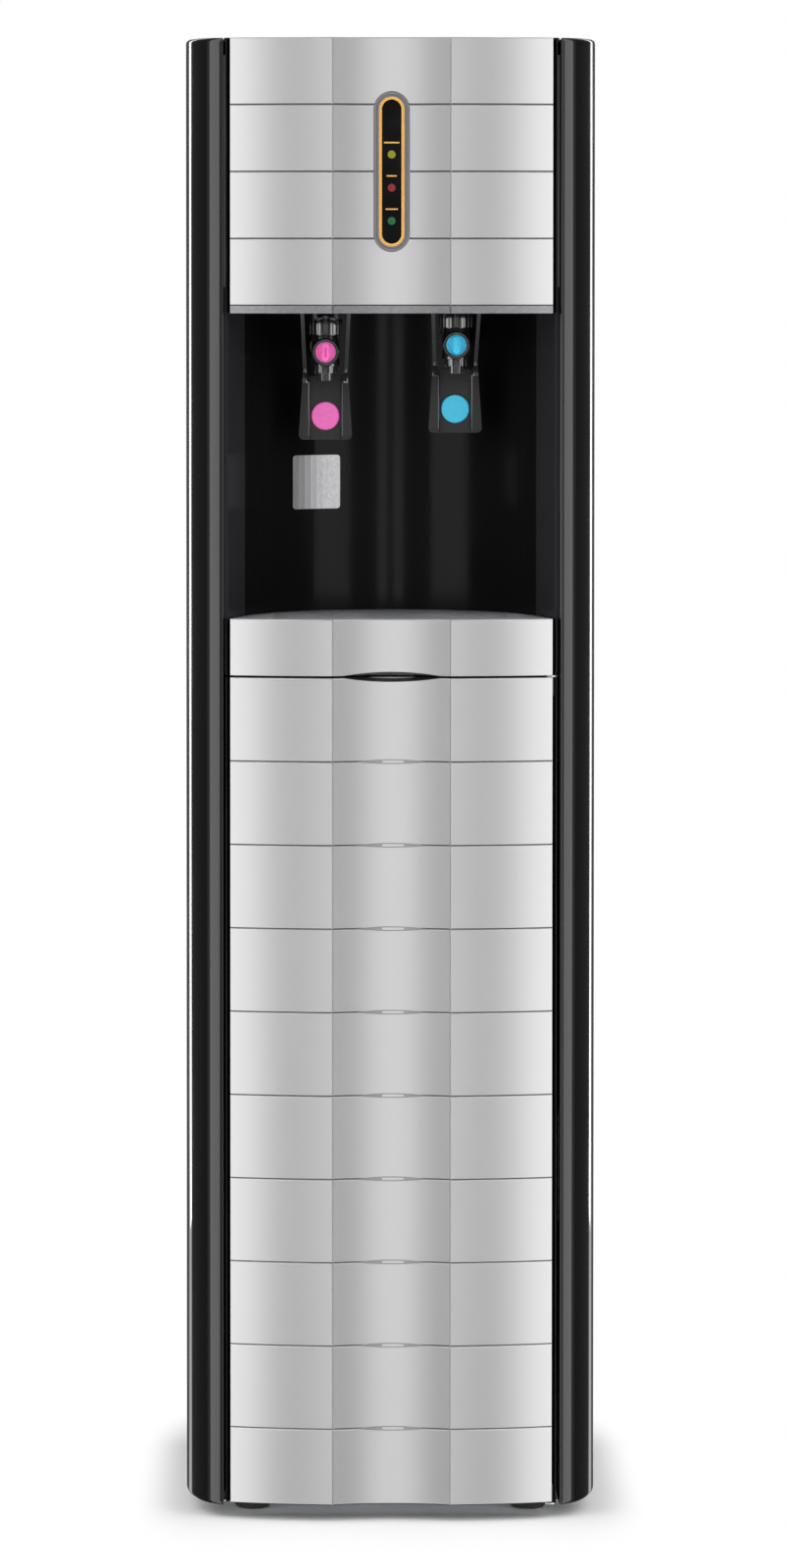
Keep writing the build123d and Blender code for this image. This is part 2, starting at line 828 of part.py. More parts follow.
# Drip tray, its grille and its silver front
def tray_plan(gap):
    """Outline of the tray and grille: the niche's inside less a gap, and open to the front."""
    inside = offset(niche_plan(), amount=-gap, kind=Kind.INTERSECTION)
    return inside


def drip_tray():
    """Moulded tray: bowl with a ledge for the grille, and the black front behind the silver."""
    bowl_low = shelf_top + tray_floor_gap
    plan = tray_plan(tray_clearance)
    inner = tray_plan(tray_clearance + tray_wall)
    tall = grille_low() - grille_lift_gap - bowl_low
    bowl = Pos(0, 0, bowl_low) * extrude(plan, amount=tall)
    bowl -= Pos(0, 0, bowl_low + tray_wall) * extrude(inner, amount=tall)
    bowl -= block((-width, front_y - 5, 0), (width, base_back, height))
    front = face_base(tray_bottom, tray_top - 0.3, base_back)
    hollow = block(
        (-panel_half + 2 * base_wall, front_y, tray_bottom + base_wall),
        (panel_half - 2 * base_wall, base_back + 1, tray_top + 1),
    )
    hollow &= face_band(skin + base_wall, door_depth, tray_bottom + base_wall, tray_top + 1)
    front -= hollow
    web = base_half - 6
    front += block((-web, base_back - 2, tray_bottom), (web, base_back + 1.5, tray_top - 12))
    tray = bowl + front
    tray -= finger_cut()
    return tray


def finger_cut():
    """Lens-shaped finger slot centred on the seam, rising behind the silver face."""
    mouth = Pos(0, seam_middle) * lens(finger_length / 2, finger_height)
    start = front_y + scallop_depth
    cut = through_front(mouth, front_y - 2, start)
    rising = from_front(start) * mouth
    slope = radians(finger_slope)
    return cut + extrude(rising, amount=finger_reach, dir=(0, cos(slope), sin(slope)))


def tray_front():
    """Silver front of the drip tray, with the upper half of the finger slot."""
    strip = face_band(0, skin, tray_bottom, tray_top)
    edges = [e for e in strip.edges() if on_face(e, tray_top)]
    strip = chamfer(edges, groove)
    strip -= ridge_lines(tray_bottom, tray_top, 0)
    return strip - finger_cut()


def drip_grille():
    """Grey grille with two rosettes of slots under the taps and slanting slots beside them."""
    low = grille_low()
    high = low + grille_thickness
    plan = tray_plan(tray_clearance)
    plate = Pos(0, 0, low) * extrude(plan, amount=grille_thickness)
    mouth = panel_half - 2 * base_wall - clearance
    front = face_band(skin + base_wall + clearance, niche_depth, low, high)
    plate += front & block((-mouth, front_y, low), (mouth, base_back + 4, high))
    cuts = []
    for side in (-1, 1):
        middle = Pos(side * tap_spacing / 2, tap_y, low)
        for inner, outer, count in ((8, 18, 8), (22, 32, 14)):
            for index in range(count):
                angle = 360 / count * (index + 0.5)
                slot = Pos((inner + outer) / 2, 0, grille_thickness / 2)
                slot *= Box(outer - inner, slot_width, grille_thickness * 2)
                cuts.append(middle * Rot(0, 0, angle) * slot)
        for index in range(6):
            slot = Pos(side * (niche_splay - 15), front_y + 25 + index * 13, low + grille_thickness / 2)
            cuts.append(slot * Rot(0, 0, -side * 30) * Box(18, slot_width, grille_thickness * 2))
    return plate - cuts


def grille_low():
    """Underside of the grille, so that its top is just below the tray's silver front."""
    return tray_top - grille_drop - grille_thickness


# Door
def groove_heights():
    """Heights of the door's grooves, a pitch apart from the top down."""
    count = ceil((door_top - door_bottom - door_pitch / 2) / door_pitch) - 1
    return [door_top - (index + 1) * door_pitch for index in range(count)]


def door_skin():
    """Silver door skin of ten strips, with a lens in each groove and a finger slot on top."""
    levels = [door_top] + groove_heights() + [door_bottom]
    strips = [silver_strip(levels[i + 1], levels[i]) for i in range(len(levels) - 1)]
    panel = Part(strips[0].fuse(*strips[1:]).wrapped)
    panel -= ridge_lines(door_bottom, door_top, 0)
    band = face_band(0, eye_depth, door_bottom, door_top)
    body = face_band(0, skin, door_bottom, door_top)
    for z in groove_heights():
        outer = Pos(0, z) * lens(eye_length / 2, eye_height)
        inner = Pos(0, z) * lens(eye_length / 2 - 5 * eye_line, eye_height - eye_line)
        island = through_front(outer, front_y - 5, front_y + 20) & body
        panel += island
        panel -= through_front(outer - inner, front_y - 5, front_y + 20) & band
    half = finger_length / 2 + 2
    back = front_y + scallop_depth + finger_reach
    scoop = block((-half, front_y, door_top - 9), (half, back, door_top))
    scoop &= face_band(1, door_depth, door_top - 9, door_top)
    panel += scoop
    return panel - finger_cut()


def door_frame():
    """Black door moulding with ribs, hinge sockets and a pocket behind the finger slot."""
    frame = face_base(door_bottom, door_top, door_back)
    edge = panel_half - base_wall
    for x in (-ridge, ridge):
        frame += face_rib(x)
    for index in range(1, 6):
        z = door_bottom + (door_top - door_bottom) / 6 * index
        rib = face_band(skin + base_wall, door_depth, z, z + base_wall)
        rib &= block((-edge, front_y, z), (edge, door_back - 6, z + base_wall))
        frame += rib
    for low, high in hinge_posts():
        post = Pos(hinge_x, hinge_y, low) * extrude(Circle(hinge_pin_radius + 1.0), amount=high - low)
        post += block((hinge_x - 6, hinge_y, low), (hinge_x + 2, hinge_y + 6, high))
        frame += post & block((0, front_y, low), (base_half, door_back, high))
    half = finger_length / 2 + 2 + clearance
    pocket_back = front_y + scallop_depth + finger_reach + clearance
    frame -= block((-half, front_y, door_top - 9 - clearance), (half, pocket_back, door_top + 1))
    depth = hinge_pin_length + 1
    for low in (door_bottom - 1, door_top - depth + 1):
        bore = Circle(hinge_pin_radius + running)
        frame -= Pos(hinge_x, hinge_y, low) * extrude(bore, amount=depth)
    frame -= strike_block(clearance)
    return frame


def face_rib(x):
    """Upright rib behind the door's ridge."""
    rib = face_band(skin + base_wall, door_depth, door_bottom, door_top)
    return rib & block((x - 1.25, front_y, door_bottom), (x + 1.25, door_back - 6, door_top))


def hinge_posts():
    """Lower and upper end of the post round each hinge pin in the door frame."""
    reach = hinge_pin_length + 3
    return [(door_bottom, door_bottom + reach), (door_top - reach, door_top)]


def door_hinge(low):
    """Hinge leaf with its pin: below the door, or over it in the seam."""
    leaf_low = pan_top if low else door_top + (seam - hinge_leaf) / 2
    root = door_back + 25
    leaf = block(
        (hinge_x - hinge_leaf_width / 2, hinge_y, leaf_low),
        (hinge_x + hinge_leaf_width / 2, root, leaf_low + hinge_leaf),
    )
    leaf += Pos(hinge_x, hinge_y, leaf_low) * extrude(Circle(hinge_leaf_width / 2), amount=hinge_leaf)
    if low:
        pin = Pos(hinge_x, hinge_y, leaf_low) * extrude(Circle(hinge_pin_radius), amount=hinge_pin_length)
    else:
        start = leaf_low + hinge_leaf - hinge_pin_length
        pin = Pos(hinge_x, hinge_y, start) * extrude(Circle(hinge_pin_radius), amount=hinge_pin_length)
    return leaf + pin


def strike_block(gap):
    """Steel plate let into the door's back near its free upper corner."""
    x = -panel_half + 25
    half = magnet_size + gap
    return block(
        (x - half, door_back - strike_thickness - gap, door_top - 26 - gap),
        (x + half, door_back + (1 if gap else 0), door_top - 12 + gap),
    )


def door_strike():
    """The strike plate itself, with a stem into the door's frame."""
    plate = strike_block(0)
    x = -panel_half + 25
    stem_front = front_y + skin + base_wall + 8
    return plate + block((x - 4, stem_front, door_top - 22), (x + 4, door_back - 1, door_top - 16))


def door_magnet():
    """Magnet of the door catch, hung from the tray shelf."""
    x = -panel_half + 25
    front = door_back + clearance
    magnet = block((x - magnet_size, front, door_top - 26), (x + magnet_size, front + 10, door_top - 12))
    return magnet + block((x - magnet_size, front + 4, door_top - 13), (x + magnet_size, front + 22, shelf_z))


# Filters
def cartridge_places():
    """X of each filter, in a row about the middle."""
    return [(index - (cartridge_count - 1) / 2) * cartridge_pitch for index in range(cartridge_count)]


def filter_cartridge(x):
    """Sealed cartridge with bevelled ends and a neck that turns in its head."""
    top = rail_z - neck_height
    body = extrude(Circle(cartridge_radius), amount=cartridge_length)
    body = Pos(x, filter_y, top - cartridge_length) * chamfer(body.edges(), cartridge_chamfer)
    neck = Pos(x, filter_y, top - 1) * extrude(Circle(neck_radius - 1.2), amount=neck_height + 8)
    ear = Pos(x, filter_y, top + 2) * extrude(Circle(neck_radius + 3), amount=neck_height - 4)
    ear &= Pos(x, filter_y, top) * Box(9, 60, 60)
    return body + neck + ear


def filter_heads():
    """Three filter heads, each with two tube ports on top."""
    heads = []
    for x in cartridge_places():
        head = Pos(x, filter_y, rail_z) * extrude(Circle(head_radius), amount=head_height)
        head = chamfer(head.edges().sort_by(Axis.Z)[-1], 2.5)
        head -= Pos(x, filter_y, rail_z) * extrude(Circle(neck_radius), amount=9)
        for side in (-1, 1):
            port = Pos(x + side * port_spacing / 2, filter_y, rail_z + head_height - 1)
            head += port * extrude(Circle(tube_radius + 2.6), amount=9)
            head -= port * Pos(0, 0, -7) * extrude(Circle(tube_radius), amount=20)
        back = filter_y + head_radius
        head += block((x - 12, back - 7, rail_z + 6), (x + 12, back + 4, rail_z + head_height - 6))
        heads.append(head)
    return heads


def filter_rail():
    """Folded steel rail that the heads are screwed to, hung from the tray shelf."""
    y = filter_y + head_radius + 4
    back = shelf_back - shelf_sheet
    rail = block((-column_inner + 6, y, rail_z - 6), (column_inner - 6, y + 2, shelf_z))
    return rail + block((-column_inner + 6, y, shelf_z - 2), (column_inner - 6, back, shelf_z))


def filter_tubing():
    """Short jumper tubes from head to head."""
    low = rail_z + head_height - 8
    rise = low + 28
    tubes = []
    places = cartridge_places()
    for index in range(cartridge_count - 1):
        start = places[index] + port_spacing / 2
        end = places[index + 1] - port_spacing / 2
        path = FilletPolyline(
            (start, filter_y, low),
            (start, filter_y, rise),
            (end, filter_y, rise),
            (end, filter_y, low),
            radius=tube_bend,
        )
        foot = Plane(origin=(start, filter_y, low), z_dir=(0, 0, 1))
        tubes.append(sweep(foot * Circle(tube_radius), path=path))
    return tubes


# Tanks and cooling
def cold_jacket():
    """Foam jacket that closes round the cold tank: a floor, a thick wall and a lid."""
    tall = jacket_floor + cold_tank_height + jacket_lid
    outline = RectangleRounded(jacket_wide, jacket_deep, jacket_corner)
    jacket = Pos(0, cold_tank_y, tank_low) * extrude(outline, amount=tall)
    room = extrude(Circle(cold_tank_radius), amount=cold_tank_height)
    return jacket - Pos(0, cold_tank_y, tank_low + jacket_floor) * room


def cold_tank():
    """Stainless cold tank, closed on top by the jacket's lid."""
    place = Pos(0, cold_tank_y, tank_low + jacket_floor)
    tank = place * extrude(Circle(cold_tank_radius), amount=cold_tank_height)
    room = Circle(cold_tank_radius - tank_wall)
    return tank - place * Pos(0, 0, tank_wall) * extrude(room, amount=cold_tank_height)


def hot_tank():
    """Stainless hot tank hung under the tank shelf, with a heater flange below."""
    place = Pos(0, hot_tank_y, niche_top - hot_tank_height)
    tank = place * extrude(Circle(hot_tank_radius), amount=hot_tank_height)
    tank = chamfer(tank.edges().sort_by(Axis.Z)[0], hot_tank_chamfer)
    tank += place * Pos(0, 0, -6) * extrude(Circle(20), amount=8)
    room = Circle(hot_tank_radius - tank_wall)
    return tank - place * Pos(0, 0, hot_tank_chamfer) * extrude(room, amount=hot_tank_height)


def compressor():
    """Hermetic compressor: foot plate, pot, domed lid and terminal box."""
    place = Pos(0, compressor_y, compressor_z)
    plate_half = compressor_radius + plate_margin
    plate = place * extrude(RectangleRounded(2 * plate_half, 2 * compressor_radius - 16, 14), amount=3)
    pot = place * extrude(Circle(compressor_radius), amount=compressor_pot)
    dome = extrude(Circle(compressor_radius - 3), amount=compressor_dome)
    for bevel in (24, 7):
        rims = [e for e in dome.edges().filter_by(GeomType.CIRCLE) if (e @ 0).Z > 1]
        dome = chamfer(rims, bevel)
    dome = place * Pos(0, 0, compressor_pot) * dome
    rim = place * Pos(0, 0, compressor_pot - 4) * extrude(Circle(compressor_radius + 3), amount=6)
    box = block(
        (compressor_radius - 8, compressor_y - 25, compressor_z + 20),
        (compressor_radius + 18, compressor_y + 25, compressor_z + compressor_pot - 6),
    )
    return plate + pot + dome + rim + box


def compressor_feet():
    """Rubber grommets between the compressor's foot plate and the pan."""
    grommets = []
    for x in (-1, 1):
        for y in (-1, 1):
            place = Pos(
                x * (compressor_radius + plate_margin - grommet_radius - 4),
                compressor_y + y * (compressor_radius - grommet_radius - 12),
                pan_top,
            )
            grommets.append(place * extrude(Circle(grommet_radius), amount=grommet_height))
    return grommets


def condenser():
    """Wire-on-tube condenser: one serpentine tube with upright wires welded to both sides."""
    y = rear_face + condenser_gap
    half = condenser_width / 2
    points = []
    for run in range(condenser_runs):
        z = condenser_base + run * condenser_pitch
        ends = (-half, half) if run % 2 == 0 else (half, -half)
        points.append((ends[0], y, z))
        points.append((ends[1], y, z))
    path = FilletPolyline(*points, radius=condenser_pitch / 2 - 0.01)
    start = Plane(origin=points[0], x_dir=(0, 1, 0), z_dir=(1, 0, 0))
    eight_sided = RegularPolygon(condenser_tube, 8, major_radius=False, rotation=22.5)
    coil = sweep(start * eight_sided, path=path)
    low = condenser_base - 12
    high = condenser_base + (condenser_runs - 1) * condenser_pitch + 12
    span = condenser_width - 2 * condenser_edge
    wires = []
    for index in range(condenser_wires):
        x = span * (index / (condenser_wires - 1) - 0.5)
        for face in (-1, 1):
            wire_y = y + face * (condenser_tube + condenser_wire / 2 - 0.4)
            wires.append(Pos(x, wire_y, (low + high) / 2) * Box(condenser_wire, condenser_wire, high - low))
    for x in (-span / 2, span / 2):
        for z in (condenser_base + condenser_pitch / 2, high - 12 - condenser_pitch / 2):
            wires.append(block((x - 7, rear_face, z - 4), (x + 7, y + condenser_tube, z + 4)))
    return coil.fuse(*wires)


# Fittings at the back
def switch_places():
    """X of the hot and cold switches."""
    return [-switch_pitch / 2, switch_pitch / 2]


def switch_frame_plate():
    """Black frame round both switches, clipped into the rear panel."""
    half = switch_pitch / 2 + switch_width / 2 + 8
    tall = switch_height / 2 + 6
    frame = block((-half, rear_face, switch_z - tall), (half, rear_face + 2.5, switch_z + tall))
    for x in switch_places():
        frame += block(
            (x - switch_width / 2, rear_face - 16, switch_z - switch_height / 2),
            (x + switch_width / 2, rear_face, switch_z + switch_height / 2),
        )
        frame -= block(
            (x - switch_width / 2 + 1, rear_face - 14, switch_z - switch_height / 2 + 1),
            (x + switch_width / 2 - 1, rear_face + 3, switch_z + switch_height / 2 - 1),
        )
    return frame


def rocker(x):
    """Rocker with a raised end, on a cross pin line through its middle."""
    tall = switch_height / 2 - 2.8
    side = Polyline(
        (rear_face - 4, switch_z - tall),
        (rear_face + 1.5, switch_z - tall),
        (rear_face + 2.2, switch_z),
        (rear_face + 4.6, switch_z + tall),
        (rear_face - 4, switch_z + tall),
        close=True,
    )
    key = along_x(make_face(side), switch_width / 2 - 1.5)
    return Pos(x, 0, 0) * key


def rear_rod(radius, x, near, far):
    """Round bar along Y at the height of the fittings, between two distances from the rear panel."""
    return rod(radius, (x, rear_panel_y + near, fitting_z), (x, rear_panel_y + far, fitting_z))


def rear_fittings():
    """Quick-connect water inlet and threaded drain outlet in the rear panel."""
    inlet = rear_rod(fitting_radius, inlet_x, -14, inlet_reach - 4)
    inlet += rear_rod(fitting_radius + 4, inlet_x, sheet, sheet + 4)
    inlet += rear_rod(fitting_radius - 2, inlet_x, inlet_reach - 5, inlet_reach)
    inlet -= rear_rod(inlet_bore, inlet_x, inlet_reach - inlet_depth, inlet_reach + 1)
    drain = rear_rod(drain_pipe, drain_x, -14, 15)
    drain += rear_rod(drain_flange, drain_x, sheet, sheet + 3)
    drain -= rear_rod(drain_pipe - 3, drain_x, 0, 16)
    return [inlet, drain]


def drain_cap():
    """Ribbed cap on the drain outlet."""
    low = sheet + 3 + clearance
    cap = rear_rod(cap_radius, drain_x, low, low + 17)
    cap = chamfer(cap.edges().sort_by(Axis.Y)[-1], 1.5)
    for index in range(cap_ribs):
        rib = Rot(0, 360 / cap_ribs * index, 0) * Pos(cap_radius, 0, 0) * Box(2, 13, 2)
        cap += Pos(drain_x, rear_panel_y + low + 7.5, fitting_z) * rib
    return cap - rear_rod(drain_pipe + running, drain_x, low - 1, low + 13)


def cord_gland():
    """Strain relief bush for the mains cord, in the rear panel."""
    gland = rear_rod(gland_radius, gland_x, -8, 10)
    gland += rear_rod(gland_radius + 3, gland_x, sheet, sheet + 3)
    return gland - rear_rod(cord_radius, gland_x, -9, 11)


def solenoid_valve():
    """Inlet solenoid valve on the pan beside the compressor."""
    y = rear_panel_y - valve_gap - valve_side / 2
    body = Pos(inlet_x, y, pan_top + valve_height / 2) * Box(valve_side, valve_side, valve_height)
    coil = Pos(inlet_x, y, pan_top + valve_height + coil_height / 2)
    coil *= Box(coil_side, coil_side, coil_height)
    start = (inlet_x, y + valve_side / 2, pan_top + valve_height - 14)
    return body + coil + rod(5, start, (inlet_x, start[1] + 10, start[2]))


def control_box():
    """Black box with the relay and terminals, on the pan at the left."""
    left = box_gap - inside_half
    back = rear_panel_y - box_back_gap
    box = block((left, back - box_depth, pan_top), (left + box_width, back, pan_top + box_height))
    return chamfer(box.edges().filter_by(Axis.Z), 3)


def feet():
    """Four rubber feet under the pan: two between the columns and two at the rear corners."""
    front = (column_inner - foot_inset, column_back)
    rear = (inside_half - foot_inset, rear_panel_y - foot_inset)
    pads = []
    for x, y in (front, rear):
        for side in (-1, 1):
            pad = Pos(side * x, y, 0) * extrude(Circle(foot_radius), amount=foot_height)
            pads.append(chamfer(pad.edges().sort_by(Axis.Z)[0], 2))
    return pads


def panel_screws():
    """Screws along both edges of the rear panel."""
    low = foot_height + 60
    pitch = (cover_z - 30 - low) / (screw_rows - 1)
    screws = []
    for side in (-1, 1):
        x = side * (inside_half - 6)
        for row in range(screw_rows):
            z = low + row * pitch
            screws.append(rod(screw_head, (x, rear_face, z), (x, rear_face + 2, z)))
    return screws


# Assembly
def build():
    """Every piece by its node name."""
    nodes = {}
    nodes["right_side_panel"] = side_panel(1)
    nodes["left_side_panel"] = side_panel(-1)
    nodes["base_pan"] = base_pan()
    nodes["rear_panel"] = rear_panel()
    nodes["top_cover"] = top_cover()
    nodes["tray_shelf"] = tray_shelf()
    nodes["tank_shelf"] = tank_shelf()
    nodes["upper_front_panel"] = upper_front_panel()
    nodes["upper_front_base"] = upper_front_base()
    nodes["chin_trim"] = chin_trim()
    nodes["indicator_bezel"] = indicator_bezel()
    nodes["indicator_ring"] = indicator_ring()
    nodes["indicator_window"] = indicator_window()
    for name, z in zip(("power_lamp", "hot_lamp", "cold_lamp"), lamp_heights()):
        nodes[name] = lamp(z)
    nodes["niche_liner"] = niche_liner()
    reach = wall_reach()
    for name, side in (("hot", -1), ("cold", 1)):
        place = tap_place(side)
        nodes[name + "_tap_body"] = place * tap_body(reach) + tap_collar(side)
        nodes[name + "_tap_stem"] = place * tap_stem()
        nodes[name + "_tap_knob"] = place * tap_knob(side < 0)
        nodes[name + "_lever"] = place * tap_lever()
        nodes[name + "_lever_disc"] = place * lever_disc()
    nodes["tap_nuts"] = [tap_place(side) * tap_nut() for side in (-1, 1)]
    nodes["tap_nozzles"] = [tap_place(side) * tap_nozzle() for side in (-1, 1)]
    nodes["lever_pins"] = [tap_place(side) * lever_pin() for side in (-1, 1)]
    nodes["drip_tray"] = drip_tray()
    nodes["tray_front"] = tray_front()
    nodes["drip_grille"] = drip_grille()
    nodes["door_skin"] = door_skin()
    nodes["door_frame"] = door_frame()
    nodes["door_hinges"] = [door_hinge(True), door_hinge(False)]
    nodes["door_strike"] = door_strike()
    nodes["door_magnet"] = door_magnet()
    nodes["filter_heads"] = filter_heads()
    nodes["filter_rail"] = filter_rail()
    nodes["filter_tubing"] = filter_tubing()
    for index, x in enumerate(cartridge_places()):
        nodes["filter_cartridge_" + str(index + 1)] = filter_cartridge(x)
    nodes["cold_tank_jacket"] = cold_jacket()
    nodes["cold_tank"] = cold_tank()
    nodes["hot_tank"] = hot_tank()
    nodes["compressor"] = compressor()
    nodes["compressor_grommets"] = compressor_feet()
    nodes["condenser"] = condenser()
    nodes["switch_frame"] = switch_frame_plate()
    for name, x in zip(("hot_switch", "cold_switch"), switch_places()):
        nodes[name] = rocker(x)
    nodes["rear_fittings"] = rear_fittings()
    nodes["drain_cap"] = drain_cap()
    nodes["cord_gland"] = cord_gland()
    nodes["solenoid_valve"] = solenoid_valve()
    nodes["control_box"] = control_box()
    nodes["feet"] = feet()
    nodes["panel_screws"] = panel_screws()
    return nodes


pieces = build()
for name, piece in pieces.items():
    shape = Compound(children=piece) if isinstance(piece, list) else piece
    export_step(shape, "parts/" + name + ".step")
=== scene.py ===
import json
from math import atan2, copysign, pi, radians, sqrt

import bmesh
import bpy
from mathutils import Matrix, Vector

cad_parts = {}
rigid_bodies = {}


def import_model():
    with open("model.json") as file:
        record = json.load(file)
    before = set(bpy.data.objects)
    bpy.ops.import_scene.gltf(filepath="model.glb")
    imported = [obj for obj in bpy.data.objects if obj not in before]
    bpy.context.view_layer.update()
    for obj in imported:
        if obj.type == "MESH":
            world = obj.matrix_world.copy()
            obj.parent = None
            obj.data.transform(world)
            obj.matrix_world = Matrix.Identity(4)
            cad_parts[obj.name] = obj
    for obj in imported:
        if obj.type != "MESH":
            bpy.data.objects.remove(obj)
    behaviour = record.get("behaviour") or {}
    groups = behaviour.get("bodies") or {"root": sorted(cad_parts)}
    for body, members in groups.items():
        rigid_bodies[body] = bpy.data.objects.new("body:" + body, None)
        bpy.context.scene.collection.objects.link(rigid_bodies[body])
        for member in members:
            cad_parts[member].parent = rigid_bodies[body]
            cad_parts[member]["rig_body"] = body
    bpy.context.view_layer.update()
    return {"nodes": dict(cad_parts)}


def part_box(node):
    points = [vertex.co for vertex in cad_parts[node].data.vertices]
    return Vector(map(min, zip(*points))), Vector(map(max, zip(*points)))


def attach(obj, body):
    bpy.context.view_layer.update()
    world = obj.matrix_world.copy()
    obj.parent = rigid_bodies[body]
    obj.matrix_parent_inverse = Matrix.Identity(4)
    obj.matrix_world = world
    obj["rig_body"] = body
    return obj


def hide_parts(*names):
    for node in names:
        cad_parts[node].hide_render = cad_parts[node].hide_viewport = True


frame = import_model()

# Camera. The photograph was taken from far off with a long lens, from a little
# under the middle of the indicator. The lens axis tips down a little, and the lens
# is shifted down for the rest of the framing.
picture_high = 1600
metres_per_pixel = 0.00074895
sensor = 36.0
camera_distance = 4.7
front_plane = -0.1692
camera_height = 0.985
camera_side = -0.06
camera_tip = radians(1.8)

camera_data = bpy.data.cameras.new("camera")
camera_data.sensor_width = sensor
camera_data.lens = sensor * camera_distance / (picture_high * metres_per_pixel)
camera_data.shift_x = 0.0512
camera_data.shift_y = -0.2235
camera_data.clip_end = 50.0
camera = bpy.data.objects.new("camera", camera_data)
bpy.context.scene.collection.objects.link(camera)
camera.location = (camera_side, front_plane - camera_distance, camera_height)
camera.rotation_euler = (radians(90) - camera_tip, 0.0, 0.0)
bpy.context.scene.camera = camera

# Steel floor of the cabinet, with the shelf over the niche and the filter rail.
# All three are folded from hot-dip galvanised sheet, so they show its spangle:
# flat crystals 6 to 12 mm across, each a little lighter or duller than the next.
spangle_size = 9


def linear(code):
    """An sRGB colour such as "A9ADB0" as linear red, green, blue and alpha."""
    parts = [int(code[i:i + 2], 16) / 255 for i in (0, 2, 4)]
    return [c / 12.92 if c <= 0.04045 else ((c + 0.055) / 1.055) ** 2.4 for c in parts] + [1.0]


def shader_of(material):
    return material.node_tree.nodes["Principled BSDF"]


def plain(name, code, roughness, **sockets):
    """A Principled material of one colour; other sockets are given by their names."""
    made = bpy.data.materials.new(name)
    made.use_nodes = True
    shader = shader_of(made)
    shader.inputs["Base Color"].default_value = linear(code)
    shader.inputs["Roughness"].default_value = roughness
    for socket, value in sockets.items():
        shader.inputs[socket.replace("_", " ")].default_value = value
    return made


def add_node(owner, kind, inputs=None, **settings):
    """Adds a node; an input is a value, or another node's output to link to it."""
    made = owner.node_tree.nodes.new(kind)
    for name, value in settings.items():
        setattr(made, name, value)
    for name, value in (inputs or {}).items():
        socket = made.inputs[name]
        if isinstance(value, bpy.types.NodeSocket):
            owner.node_tree.links.new(value, socket)
        else:
            socket.default_value = value
    return made


def in_millimetres(material, size):
    """Places on the piece, scaled so that one grain of a pattern is so many millimetres."""
    place = add_node(material, "ShaderNodeTexCoord")
    return add_node(material, "ShaderNodeMapping", {
        "Vector": place.outputs["Object"], "Scale": [1000.0 / s for s in size],
    }).outputs["Vector"]


def vary(material, pattern, roughness=None, colours=None, height=None):
    """Lets a grey pattern drive the roughness, the sRGB colour or the height in millimetres.

    The roughness spans the greys from 0.3 to 0.7, where most of a pattern lies.
    """
    shader = shader_of(material)
    if roughness:
        low, high = roughness
        spread = add_node(material, "ShaderNodeMapRange", {
            "Value": pattern, "From Min": 0.3, "From Max": 0.7, "To Min": low, "To Max": high,
        }).outputs["Result"]
        material.node_tree.links.new(spread, shader.inputs["Roughness"])
    if colours:
        factor, dark, light, colour_out = 0, 6, 7, 2
        mixed = add_node(material, "ShaderNodeMix", {
            factor: pattern, dark: linear(colours[0]), light: linear(colours[1]),
        }, data_type="RGBA").outputs[colour_out]
        material.node_tree.links.new(mixed, shader.inputs["Base Color"])
    if height:
        bump = add_node(material, "ShaderNodeBump", {
            "Height": pattern, "Distance": height / 1000.0,
        }).outputs["Normal"]
        material.node_tree.links.new(bump, shader.inputs["Normal"])


def paint(material, *nodes):
    """Gives a material to CAD nodes whose shape is kept."""
    for name in nodes:
        kept = frame["nodes"][name]
        kept.data.materials.clear()
        kept.data.materials.append(material)


zinc = plain("galvanised_steel_sheet", "A4A8AB", 0.42, Metallic=1.0)
spangle = add_node(zinc, "ShaderNodeTexVoronoi", {
    "Vector": in_millimetres(zinc, [spangle_size] * 3), "Scale": 1.0,
}).outputs["Color"]
vary(zinc, spangle, roughness=(0.34, 0.52), colours=("959A9E", "B4B8BB"))
paint(zinc, "base_pan", "tank_shelf", "filter_rail")


def mottle(material, size, detail=2.0):
    """Soft noise whose grains are about so many millimetres along each axis."""
    return add_node(material, "ShaderNodeTexNoise", {
        "Vector": in_millimetres(material, size), "Scale": 1.0, "Detail": detail,
    }).outputs["Fac"]


def shade_smooth(shape, crease):
    """Shades a bmesh smooth, but for its open edges and those of crease degrees or more."""
    for face in shape.faces:
        face.smooth = True
    for line in shape.edges:
        line.smooth = len(line.link_faces) == 2 and line.calc_face_angle() < radians(crease)


def add_object(shape, name, material):
    """Makes a bmesh an object of one material, and frees the bmesh."""
    mesh = bpy.data.meshes.new(name)
    shape.to_mesh(mesh)
    shape.free()
    mesh.materials.append(material)
    made = bpy.data.objects.new(name, mesh)
    bpy.context.scene.collection.objects.link(made)
    return made


def place_piece(shape, name, material, body):
    """Makes a bmesh a piece that rides on a body."""
    piece = add_object(shape, name, material)
    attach(piece, body)
    return piece


